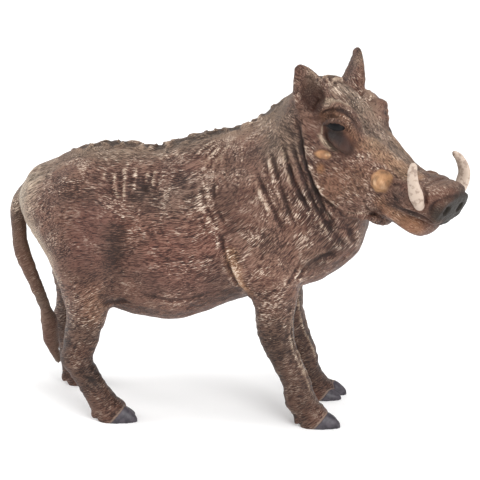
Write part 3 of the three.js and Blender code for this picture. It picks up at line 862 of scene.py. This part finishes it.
def carve(points):
    """The carved lines' heights in mm, the narrow ones' alone, and how near the painted lines are."""
    lines = []
    for part, rows in CARVING.items():
        for height, width, rim, line in rows:
            mirrored = part == "head" or (part == "body" and min(abs(q[1]) for q in line) > 1.0)
            for side, strength in ((RIGHT, 1), (LEFT, LEFT_DEPTH)) if mirrored else ((RIGHT, 1),):
                lines.append((on_side(part, line, side, 4), height * strength, width, rim, part))
    paths, _ = onto_skin(np.concatenate([line[0] for line in lines]), 3.0, 4)
    broken = 1 + 0.35 * noise(points / [1.6, 1.6, 1.1], 31)
    wander = 0.22 * noise(points / 1.5, 32)
    out, narrow = np.zeros(len(points)), np.zeros(len(points))
    gaps = np.full((2, len(points)), 3.0)
    start = 0
    for line, height, width, rim, part in lines:
        path = paths[start : start + len(line)]
        start += len(line)
        near = near_box(points, path.min(0), path.max(0), 3 * width)
        if not len(near):
            continue
        d, along = to_path(points[near], thin(path))
        d = np.abs(d + wander[near])
        taper = 0.45 if width > 0.7 else 0.25
        ends = ease(along, 0, taper) * ease(along, 1, 1 - taper)
        rims = rim * 0.6 * np.exp(-(((d - 2.0 * width) / width) ** 2))
        profile = np.exp(-((d / width) ** 2)) * broken[near] - rims
        out[near] += height * ends * profile
        if width < 1:
            narrow[near] += height * ends * profile
            drawn = (0.36 if part == "body" and height < 0 else 0.55) * width * min(abs(height) / 0.35, 1)
            drawn = drawn * (0.15 + ends) * (1 + 0.5 * noise(points[near] / 1.0, 33))
            which = 0 if height < 0 else 1
            gaps[which, near] = np.minimum(gaps[which, near], d / drawn)
            if height < -0.3 and part == "body":  # the brush caught the crest beside the groove
                gaps[1, near] = np.minimum(gaps[1, near], 0.45 + np.abs(d - 1.9 * width) / drawn / 0.7)
    return out, narrow, gaps


trunk_flow, leg_flow, head_flow, leg_share, head_share = flows(verts)
tusk_gap = field_of(union(*tusks), verts)
eye_gap = field_of(union(*eyes), verts)
claw_gap = field_of(union(*claws), verts)
wart_gap = field_of(union(*warts), verts)
x, y, z = verts.T
hoof_gap = np.full(len(verts), 2.0)
for fx, fy in feet:
    near = np.hypot(x - fx, y - fy) < 11
    line = (0.2 + 0.85 * z[near]) - (x[near] - fx)
    hoof_gap[near] = np.minimum(hoof_gap[near], np.maximum(line * 0.75, claw_gap[near] - 0.35))
soft_skin = ease(tusk_gap, 0.05, 0.5) * ease(eye_gap, 0.1, 0.5) * ease(hoof_gap, 0.0, 0.4)
carved, narrow, (dark_line, pale_line) = carve(verts)
carved, narrow = carved * soft_skin, narrow * soft_skin
dark_line, pale_line = dark_line + 3 * (1 - soft_skin), pale_line + 3 * (1 - soft_skin)

hair = noise(trunk_flow / [2.8, 0.95, 0.85], 1) * (1 - leg_share) * (1 - head_share)
hair += noise(leg_flow / [0.85, 2.2, 2.2], 2) * leg_share * (1 - head_share)
hair += noise(head_flow / [3.4, 0.9, 0.9], 3) * head_share
spine = -np.interp(x, [0, 30], [0, 3.4])  # the back's middle turns to the right with the neck
ridge = ease(np.abs(y - spine), 3.4, 0.6) * ease(x, -42, -34) * ease(x, 14, 6) * ease(z, 56, 60)
tufts = ease(noise(verts / [0.95, 1.3, 9], 4), -0.3, 0.7) * ridge
curls = noise(verts / 1.15, 5) * ease(np.hypot(x - 7.5, z - 43), 8.5, 5)
curls *= ease(np.abs(y), 12, 14)
lumps = noise(verts / 6.0, 6) + 0.5 * noise(verts / 2.6, 7)
bumpy = 1 - 0.75 * ease(wart_gap, 0.6, 0.1)
snout = ease(HEAD.local(verts)[:, 0], 31, 35) * head_share
bumpy *= 1 - 0.6 * snout
texture = HAIR_DEPTH * hair + TUFT_HEIGHT * tufts + CURL_DEPTH * curls + LUMP_DEPTH * lumps
relief = carved + soft_skin * bumpy * texture
relief *= ease(z, 0.0, 1.0)
skin_points = verts + normals * relief[:, None]
skin_points[:, 2] = np.maximum(skin_points[:, 2], 0)

# Airbrushed paint, with painted shade in the creases and some painted highlights

BROWN = (0.092, 0.043, 0.029)
RED = (0.090, 0.038, 0.028)
TAN = (0.150, 0.105, 0.074)
GREY = (0.075, 0.056, 0.043)
# Dark along creases, folds and grooves: partly the figure's dark wash, partly painted shade where the creases
# fall into shadow.
WASH_AND_SHADE = (0.020, 0.011, 0.008)
OCHRE = (0.260, 0.130, 0.050)
RUST = (0.140, 0.064, 0.032)
CREAM = (0.360, 0.280, 0.200)
LEFT_CREAM = 0.3  # how much of it the left side has
SNOUT = (0.017, 0.013, 0.009)
LEG = (0.055, 0.028, 0.018)
TAIL_TAN = (0.125, 0.074, 0.052)
RUMP_RIM_HIGHLIGHT = (0.300, 0.240, 0.180)
NECK_RED = (0.064, 0.022, 0.014)
FLANK_RED = (0.130, 0.046, 0.030)
TAIL_TIP = (0.150, 0.105, 0.078)
FOREHEAD = (0.150, 0.104, 0.077)
POUCH = (0.018, 0.012, 0.011)
BRIDGE = (0.225, 0.135, 0.080)
LIP = (0.230, 0.112, 0.060)
SNOUT_TOP = (0.170, 0.110, 0.082)
EAR_INSIDE_AND_SHADE = np.array([0.030, 0.011, 0.007])
GOLD = np.array([0.44, 0.255, 0.125])
GOLD_LIGHTER = np.array([0.18, 0.17, 0.13])  # added to the gold in spots
GROOVE_WASH_AND_SHADE = np.array([0.45, 0.4, 0.38])  # times the paint

# Each spray: colour, reach in mm, strength, points.
BODY_SPRAYS = [
    (RED, 12, 0.8, [[-14, -16, 40], [-4, -16.5, 40]]),
    (RED, 8, 0.8, [[-30, -14, 48], [-32, -15, 42]]),
    (RED, 7, 0.5, [[-27, -12, 57], [-10, -12, 59]]),
    # Paler along the top of the back: partly the mane's paler paint, partly painted light on the top.
    (TAN, 9, 0.6, [[-47, 0, 50], [-40, 0, 60], [-24, 0, 63], [-6, 0, 66], [8, 0, 72], [16, -1, 77]]),
    # Painted highlight: the rump's left edge painted pale, as if lit from behind.
    (RUMP_RIM_HIGHLIGHT, 8.5, 0.9, [[-47, -6, 52], [-46, -8, 44], [-43, -12, 34]]),
    (TAN, 7, 0.6, [[10, -8, 70], [12, -10, 64]]),
    (GREY, 9, 0.7, [[-20, 0, 21], [-8, 0, 22], [2, 0, 26]]),
    (GREY, 7, 0.3, [[-18, -14, 54], [-8, -14.5, 55]]),
    # The darkest sprays below lie along creases and folds: partly the dark wash, partly painted shade.
    (WASH_AND_SHADE, 3.4, 0.2, [[-25.4, -15.4, 43], [-25.4, -16, 40.4], [-24.7, -15.9, 35.8], [-23.8, -14.7, 31.2]]),
    (WASH_AND_SHADE, 4.6, 0.35, [[-2.6, -16.4, 40], [-1.2, -16.2, 36], [0, -14, 33]]),
    (OCHRE, 2.2, 0.35, [[1.2, -16.6, 43], [1.6, -16.2, 39.7], [3.2, -15.2, 35.9], [4.6, -14.8, 33.6]]),
    (LEG, 9, 0.85, [[11, -11, 24], [12, -10, 14], [16, -9, 6]]),
    (LEG, 8, 0.7, [[-34, -12, 22], [-34, -11, 12], [-30, -11, 6]]),
    (LEG, 8, 0.7, [[-40, 12, 22], [-41, 11, 12], [-40, 11, 6]]),
    (NECK_RED, 6.5, 0.65, [[15, -13, 60], [19, -14.5, 54], [23, -14, 48]]),
    (FLANK_RED, 9, 0.35, [[-18, -17, 47], [-12, -17, 42], [-6, -17, 46]]),
    (RUST, 4, 0.4, [[-30, -15, 32], [-30, -15, 27]]),
    (WASH_AND_SHADE, 4, 0.25, [[17, -14.8, 56], [20, -15, 50], [23, -14, 45]]),
    (WASH_AND_SHADE, 3, 0.3, [[15.5, -11.8, 68], [16.6, -13.3, 62], [18.2, -14.2, 57]]),
    (WASH_AND_SHADE, 3, 0.3, [[18, -13.2, 39.8], [22.3, -12.9, 42], [25.3, -12.6, 44.1]]),
    (TAIL_TAN, 3.4, 0.9, [[-48.4, 0, 48.6], [-49.8, 0, 41], [-49, 0, 36], [-46.2, 0, 26.5]]),
    (TAIL_TIP, 3, 0.5, [[-45.0, 0, 24], [-43.7, 0, 18.6], [-41.5, 0, 10]]),
    (WASH_AND_SHADE, 3.4, 0.4, [[-33, -11.5, 14], [-31, -12, 9]]),
]
HEAD_SPRAYS = [
    (TAN, 2.6, 0.5, [[-3, 0, 11], [0, 0, 12.6]]),
    (TAN, 2.0, 0.5, [[0, 9.3, 15], [-0.6, 9.8, 17.5]]),
    (FOREHEAD, 5.5, 0.6, [[4, 0, 11.8], [10, 0, 11], [16, 0, 10], [22, 0, 9.4]]),
    (RUST, 5.0, 0.45, [[18, -9, 0], [21, -8.6, 3], [17, -9.5, -3]]),
    (TAN, 2.4, 0.4, [[2.0, -9.4, 12.5], [1.2, -9.8, 15]]),
    (CREAM, 1.4, 0.9, [[5.9, -8.1, 11.4], [7.2, -6.4, 12.6], [9.2, -5.4, 12.6]]),
    (CREAM, 0.7, 0.6, [[8.6, -9.6, 5.0], [11.4, -9.2, 4.3], [14.2, -8.4, 4.4]]),
    # The darkest sprays below lie along the brow, eye, mouth and jaw creases: partly the dark wash, partly
    # painted shade.
    (WASH_AND_SHADE, 1.1, 0.4, [[6.1, -8, 8], [6.4, -8.2, 9.6], [6.8, -7.2, 10.8], [9, -7.4, 11.9], [11, -6.7, 12]]),
    (RUST, 2.2, 0.6, [[7.4, -8.6, 9], [10.5, -8.2, 10.8], [14, -7, 8.6], [17, -6.8, 7.6]]),
    (POUCH, 2.7, 0.97, [[11.0, -9.3, 7.2], [12.6, -8.8, 7.2], [15.0, -8, 6.2]]),
    (WASH_AND_SHADE, 0.9, 0.9, [[8.8, -9.3, 7.9], [12.5, -8.8, 8.3]]),
    (BRIDGE, 3.6, 0.8, [[19, -5, 8.8], [25, -4, 8.8], [29, -3.6, 9]]),
    (WASH_AND_SHADE, 1.8, 0.4, [[29.2, -7.8, 5.6], [30.4, -7.5, 4.6]]),
    (LIP, 3.0, 0.85, [[28, -6.4, 0.2], [32, -6.2, -0.6], [36, -5.2, 0]]),
    (SNOUT_TOP, 2.4, 0.6, [[33.5, -6, 8.5], [36, -4, 10.6], [36, -1, 11.2]]),
    (SNOUT, 4.4, 0.95, [[39.6, -5.2, 6.4], [40.4, -2, 8.0], [40.4, 2.2, 7.4], [40.4, -1, 4.6]]),
    (WASH_AND_SHADE, 0.8, 0.8, [[30.2, -7.0, 2.1], [33.6, -7.3, 3], [37.6, -6.1, 2.7], [39.6, -4.8, 2.5]]),
    (WASH_AND_SHADE, 1.6, 0.1, [[11, -10, -3.6], [16.9, -8.6, -7.2], [24.1, -7.1, -6.6]]),
    (OCHRE, 1.3, 0.5, [[12.6, -9.9, -0.9], [12.6, -9.9, -0.8]]),
]
SPRAYS = {"body": BODY_SPRAYS, "head": HEAD_SPRAYS}

# Where the dry brush took more or less: part, amount, reach in mm, points.
BRUSHES = [
    ("head", 0.2, 6.0, [[4, 0, 11.8], [8, 0, 11.5], [16, 0, 10], [24, 0, 9]]),
    ("head", -0.6, 2.8, [[6.6, -8.8, 7], [7.2, -9.2, 4.5]]),
    ("head", -0.35, 4.0, [[14, -9.6, 2.4], [19, -9.2, 1.2]]),
    ("body", -0.5, 8.0, [[-32, -15, 49], [-29, -15, 43], [-31, -15, 39]]),
    ("body", -0.35, 7.0, [[-22, -16, 40], [-20, -16, 34]]),
    ("body", -0.4, 6.0, [[1, -16, 54], [4, -16, 50]]),
    ("head", -0.75, 3.2, [[10, -9.3, 7.2], [12.6, -8.8, 6.8], [15.0, -8, 6.2]]),
    ("head", -0.5, 4.5, [[39.6, -5.2, 6.4], [40.4, -2, 8.0], [40.4, 2.2, 7.4], [40.4, -1, 4.6]]),
]

paint = np.tile(BROWN, (len(verts), 1))
blotch = noise(verts / 5.0, 11)
speckle = noise(verts / 1.1, 12)
for part, rows in SPRAYS.items():
    for colour, reach, strength, line in rows:
        for side in (RIGHT, LEFT):
            path = on_side(part, line, side, 3)
            near = near_box(verts, path.min(0), path.max(0), reach)
            if not len(near):
                continue
            d = to_path(verts[near], thin(path))[0] * (1 + 0.2 * blotch[near] + 0.12 * speckle[near])
            left_share = LEFT_CREAM if side == LEFT and colour is CREAM else 1.0
            share = (left_share * strength * ease(d, reach, reach * 0.25))[:, None]
            paint[near] = paint[near] * (1 - share) + np.array(colour) * share
# The ears' hollows painted darker, most near the base: partly the ear's darker inside, partly painted shade in
# the hollow.
cup = np.zeros(len(verts))
for ear, hollow in zip(ears, hollows):
    depth = ease(field_of(hollow, verts), 0.35, 0.1) * ease(field_of(ear, verts), 1.0, 0.4)
    cup = np.maximum(cup, depth * (0.35 + 0.65 * ease(ear.frame.local(verts)[:, 0], 4.5, 1.5)))
paint = paint * (1 - 0.8 * cup[:, None]) + EAR_INSIDE_AND_SHADE * 0.8 * cup[:, None]
wart_share = (0.85 * ease(wart_gap + 0.22 * noise(verts / 0.9, 13), 0.4, -0.15))[:, None]
gold = GOLD + GOLD_LIGHTER * ease(noise(verts / 0.8, 14), 0.1, 0.8)[:, None]
gold *= 1 - 0.45 * ease(noise(verts / 0.7, 15), 0.15, 0.6)[:, None]
gold *= 1 - 0.55 * ease(HEAD.local(verts)[:, :1], 26, 28)
paint = paint * (1 - wart_share) + gold * wart_share
# Darker in the narrow carved grooves: partly the figure's dark wash, partly painted shade.
recess = ease(-narrow, 0.12, 0.6)[:, None] * 0.3
paint = paint * (1 - recess) + paint * GROOVE_WASH_AND_SHADE * recess

brush = np.full(len(verts), 0.75)
for part, amount, reach, line in BRUSHES:
    for side in (RIGHT, LEFT) if abs(line[0][1]) > 1 else (RIGHT,):
        brush += amount * ease(to_path(verts, thin(on_side(part, line, side, 3)))[0], reach, reach * 0.4)
brush -= 0.5 * ease(wart_gap, 0.8, 0.1) + 0.45 * cup
brush += (0.48 - 0.3 * head_share) * ease(narrow, 0.04, 0.2) - 0.5 * ease(-narrow, 0.15, 0.5)
brush += 0.35 * ease(np.hypot(x - 7.5, z - 43), 8.5, 4) * ease(np.abs(y), 11, 14)
brush -= 0.5 * ease(z, 28, 14) * (1 - head_share)
brush *= soft_skin
tail_share = ease(field_of(tail, verts), 0.8, 0.2) * ease(z, 46, 42)
hairy = (1 - 0.75 * ease(wart_gap, 0.5, 0)) * (1 - 0.45 * snout) * (1 - 0.4 * cup) * (1 - 0.6 * tail_share)
pouch_line = np.array([[10.6, -9.3, 7.0], [12.6, -8.8, 6.9], [15, -8, 6.2]])
pouch = ease(to_path(HEAD.local(verts), thin(pouch_line))[0], 2.6, 1.6)
hairy *= 1 - 0.6 * pouch

# The skin as an object

mesh = bpy.data.meshes.new("warthog_skin")
shift = np.array(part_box(NODE)[0]) / MM - DESIGN_LOW
placed = (skin_points + shift) * MM
mesh.from_pydata(placed.tolist(), [], faces.tolist())
mesh.update()
mesh.polygons.foreach_set("use_smooth", np.ones(len(faces), bool))


def store(name, values, kind="FLOAT"):
    layer = mesh.attributes.new(name, kind, "POINT")
    values = np.asarray(values, np.float32)
    if kind == "FLOAT":
        layer.data.foreach_set("value", values)
    elif kind == "FLOAT_VECTOR":
        layer.data.foreach_set("vector", values.ravel())
    else:
        layer.data.foreach_set("color", np.hstack([values, np.ones((len(values), 1), np.float32)]).ravel())


store("paint", paint, "FLOAT_COLOR")
for name, flow in zip(STROKES, (trunk_flow, leg_flow, head_flow)):
    store(name, flow / STROKES[name], "FLOAT_VECTOR")
store("leg_share", leg_share)
store("head_share", head_share)
store("brush", brush)
store("relief", relief - 0.5 * ridge)
store("dark_line", np.minimum(dark_line, 3))
store("pale_line", np.minimum(pale_line, 3))
store("hairy", hairy)
store("tusk_gap", np.clip(tusk_gap, -1, 1))
store("eye_gap", np.clip(eye_gap, -1, 1))
store("hoof_gap", np.clip(hoof_gap, -1, 1))

skin = bpy.data.objects.new("warthog_skin", mesh)
bpy.context.collection.objects.link(skin)
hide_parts(NODE)
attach(skin, "root")

# The paint's material

GRAIN_DEPTH = 0.0002  # in metres
# These four multiply the paint that lies under them.
REDDER = (1.25, 0.92, 0.86)
DARKER = (0.22, 0.185, 0.17)
LIGHTER = (1.7, 1.75, 1.75)
LINE_WASH_AND_SHADE = (0.26, 0.22, 0.21)
# These are laid on.
DRY_BRUSH = (0.46, 0.35, 0.26)
GLINT = (0.66, 0.55, 0.44)
PALE_RIDGE_AND_HIGHLIGHT = (0.36, 0.28, 0.20)
CORONET = (0.25, 0.19, 0.15)
CLAW_DARK = (0.030, 0.026, 0.032)
CLAW_LIGHT = (0.066, 0.056, 0.066)
IVORY = (0.44, 0.35, 0.285)
IVORY_STAIN = (0.19, 0.13, 0.10)
EYE_DARK = (0.004, 0.0035, 0.004)
EYE_LIGHT = (0.008, 0.007, 0.0075)

mat = bpy.data.materials.new("painted_vinyl")
mat.use_nodes = True
tree = mat.node_tree
shader = tree.nodes["Principled BSDF"]


def wire(value, socket):
    if hasattr(value, "links"):
        tree.links.new(value, socket)
    else:
        socket.default_value = value if not isinstance(value, tuple) or len(value) != 3 else (*value, 1)


def attribute(name, output="Fac"):
    node = tree.nodes.new("ShaderNodeAttribute")
    node.attribute_name = name
    return node.outputs[output]


def grain(vector, scale, detail=2.0, rough=0.6):
    node = tree.nodes.new("ShaderNodeTexNoise")
    wire(vector, node.inputs["Vector"])
    node.inputs["Scale"].default_value = scale
    node.inputs["Detail"].default_value = detail
    node.inputs["Roughness"].default_value = rough
    return node.outputs["Fac"]


def calc(kind, a, b=0.0, c=0.0, clamp=False):
    node = tree.nodes.new("ShaderNodeMath")
    node.operation = kind
    node.use_clamp = clamp
    for value, socket in zip((a, b, c), node.inputs):
        wire(value, socket)
    return node.outputs[0]


def times(a, b, clamp=False):
    return calc("MULTIPLY", a, b, clamp=clamp)


def step(value, low, high):
    node = tree.nodes.new("ShaderNodeMapRange")
    node.interpolation_type = "SMOOTHSTEP"
    wire(value, node.inputs["Value"])
    node.inputs["From Min"].default_value = low
    node.inputs["From Max"].default_value = high
    return node.outputs["Result"]


def blend(share, a, b, kind="MIX"):
    node = tree.nodes.new("ShaderNodeMix")
    node.data_type = "RGBA"
    node.blend_type = kind
    wire(share, node.inputs[0])
    wire(a, node.inputs[6])
    wire(b, node.inputs[7])
    return node.outputs[2]


def blend_number(share, a, b):
    node = tree.nodes.new("ShaderNodeMix")
    wire(share, node.inputs[0])
    wire(a, node.inputs[2])
    wire(b, node.inputs[3])
    return node.outputs[0]


place = tree.nodes.new("ShaderNodeTexCoord").outputs["Object"]
leg_part, head_part = attribute("leg_share"), attribute("head_share")


def by_part(scale, detail):
    flows_in = [grain(attribute(name, "Vector"), scale, detail) for name in STROKES]
    return blend_number(head_part, blend_number(leg_part, flows_in[0], flows_in[1]), flows_in[2])


hairs = by_part(1.0, 2.0)
fine_hairs = by_part(2.1, 1.0)
patches = grain(place, 130, 2.0)
mottle = grain(place, 900, 2.0)
carving = attribute("relief")
raised = calc("MULTIPLY_ADD", carving, 0.32, hairs)
raised = calc("MULTIPLY_ADD", calc("SUBTRACT", patches, 0.5), 0.22, raised)
raised = calc("MULTIPLY_ADD", calc("SUBTRACT", fine_hairs, 0.5), 0.35, raised)
hairy = attribute("hairy")
pale_share = times(times(step(raised, 0.51, 0.60), hairy), attribute("brush"), clamp=True)
glint_share = times(step(raised, 0.6, 0.675), step(grain(place, 240, 2.0), 0.43, 0.58))
glint_share = times(times(glint_share, hairy), attribute("brush"), clamp=True)
dark_share = times(times(step(raised, 0.50, 0.41), 0.95), hairy)
base = attribute("paint", "Color")
varied = blend(times(step(patches, 0.42, 0.62), 0.35), base, blend(1.0, base, REDDER, "MULTIPLY"))
dark = blend(1.0, varied, DARKER, "MULTIPLY")
colour = blend(dark_share, varied, dark)
pale = blend(0.18, blend(1.0, base, LIGHTER, "MULTIPLY"), DRY_BRUSH)
colour = blend(pale_share, colour, pale)
colour = blend(glint_share, colour, GLINT)
# Darker along the narrow grooves: partly dark wash, partly painted shade.
groove = times(step(attribute("dark_line"), 1.2, 0.3), 0.55)
colour = blend(groove, colour, blend(1.0, base, LINE_WASH_AND_SHADE, "MULTIPLY"))
# Pale along raised lines and the crests beside grooves: dry brush on the ridges, and down the fore legs' front
# edges a painted highlight.
streak = times(step(attribute("pale_line"), 1.3, 0.4), step(hairs, 0.4, 0.6))
colour = blend(times(streak, 0.6), colour, PALE_RIDGE_AND_HIGHLIGHT)
hoof = step(attribute("hoof_gap"), 0.12, -0.12)
coronet = times(step(attribute("hoof_gap"), 0.55, 0.2), step(attribute("hoof_gap"), -0.1, 0.12))
colour = blend(times(coronet, 0.55), colour, CORONET)
colour = blend(hoof, colour, blend(step(mottle, 0.3, 0.7), CLAW_DARK, CLAW_LIGHT))
tusk = step(attribute("tusk_gap"), 0.2, 0.05)
ivory = blend(times(step(mottle, 0.5, 0.34), 0.7), IVORY, IVORY_STAIN)
colour = blend(tusk, colour, ivory)
eye = step(attribute("eye_gap"), 0.1, 0.03)
colour = blend(eye, colour, blend(step(mottle, 0.4, 0.6), EYE_DARK, EYE_LIGHT))
wire(colour, shader.inputs["Base Color"])
rough = blend_number(hoof, blend_number(pale_share, 0.5, 0.62), 0.4)
rough = blend_number(eye, blend_number(tusk, rough, 0.42), 0.08)
wire(rough, shader.inputs["Roughness"])
specular = blend_number(eye, blend_number(attribute("hairy"), 0.15, 0.27), 0.12)
wire(specular, shader.inputs["Specular IOR Level"])
bump = tree.nodes.new("ShaderNodeBump")
bump.inputs["Strength"].default_value = 1.0
bump.inputs["Distance"].default_value = GRAIN_DEPTH
skin_only = calc("SUBTRACT", 1.0, calc("MAXIMUM", eye, calc("MAXIMUM", tusk, hoof)))
height = calc("MULTIPLY_ADD", fine_hairs, 0.5, hairs)
height = times(height, calc("MULTIPLY_ADD", skin_only, 0.9, 0.1))
wire(height, bump.inputs["Height"])
wire(bump.outputs["Normal"], shader.inputs["Normal"])
mesh.materials.append(mat)

# Floor, light and camera

world = bpy.data.worlds.new("studio")
bpy.context.scene.world = world
world.use_nodes = True
world.node_tree.nodes["Background"].inputs["Color"].default_value = (1, 1, 1, 1)
world.node_tree.nodes["Background"].inputs["Strength"].default_value = 0.75

floor_mesh = bpy.data.meshes.new("floor")
REACH = 4.0  # of the floor each way, in metres
floor_corners = [(x * REACH, y * REACH, 0) for x, y in ((-1, -1), (1, -1), (1, 1), (-1, 1))]
floor_mesh.from_pydata(floor_corners, [], [(0, 1, 2, 3)])
floor = bpy.data.objects.new("floor", floor_mesh)
bpy.context.collection.objects.link(floor)
pale_floor = bpy.data.materials.new("pale_floor")
pale_floor.use_nodes = True
floor_inputs = pale_floor.node_tree.nodes["Principled BSDF"].inputs
floor_inputs["Base Color"].default_value = (0.9, 0.9, 0.9, 1)
floor_inputs["Roughness"].default_value = 0.9
floor_inputs["Emission Color"].default_value = (1, 1, 1, 1)
floor_inputs["Emission Strength"].default_value = 0.15
floor_mesh.materials.append(pale_floor)


def matrix(x, y, z, at):
    """The matrix of something at a place, from its three axes."""
    return Matrix([*([x[k], y[k], z[k], at[k]] for k in range(3)), [0, 0, 0, 1]])


def area_light(name, at, target, size, power):
    data = bpy.data.lights.new(name, "AREA")
    data.shape = "RECTANGLE"
    data.size, data.size_y = size
    data.energy = power
    lamp = bpy.data.objects.new(name, data)
    bpy.context.collection.objects.link(lamp)
    at, target = np.array(at, float), np.array(target, float)
    z = unit(at - target)
    x = unit(np.cross([0, 0, 1], z)) if abs(z[2]) < 0.999 else np.array([1.0, 0, 0])
    y = np.cross(z, x)
    lamp.matrix_world = matrix(x, y, z, at)


area_light("overhead", (0.12, -0.1, 0.75), (0, 0, 0.03), (0.4, 0.4), 2.5)
area_light("front", (0.42, -0.6, 0.32), (0, 0, 0.04), (0.4, 0.4), 4.4)
area_light("left", (-0.7, 0.1, 0.32), (-0.03, 0, 0.04), (0.5, 0.5), 3.4)


PICTURE = 480  # the picture's width in pixels
PIXELS_PER_MM = 4.35  # at the camera's target


def photo_camera():
    """The camera, 7 degrees round towards the head and 18 degrees up, as judged from the photograph."""
    az, el, away = math.radians(7), math.radians(18), 450.0  # away in mm
    back = np.array([math.sin(az) * math.cos(el), -math.cos(az) * math.cos(el), math.sin(el)])
    at = (np.array([0, 7.5, 38]) + back * away + shift) * MM
    x = unit(np.cross(-back, [0, 0, 1]))
    y = np.cross(back, x)
    data = bpy.data.cameras.new("camera")
    data.sensor_width = 36
    data.lens = data.sensor_width * PIXELS_PER_MM * away / PICTURE
    data.clip_start = 0.01
    cam = bpy.data.objects.new("camera", data)
    bpy.context.collection.objects.link(cam)
    cam.matrix_world = matrix(x, y, back, at)
    bpy.context.scene.camera = cam


photo_camera()
bpy.context.scene.view_settings.view_transform = "Standard"
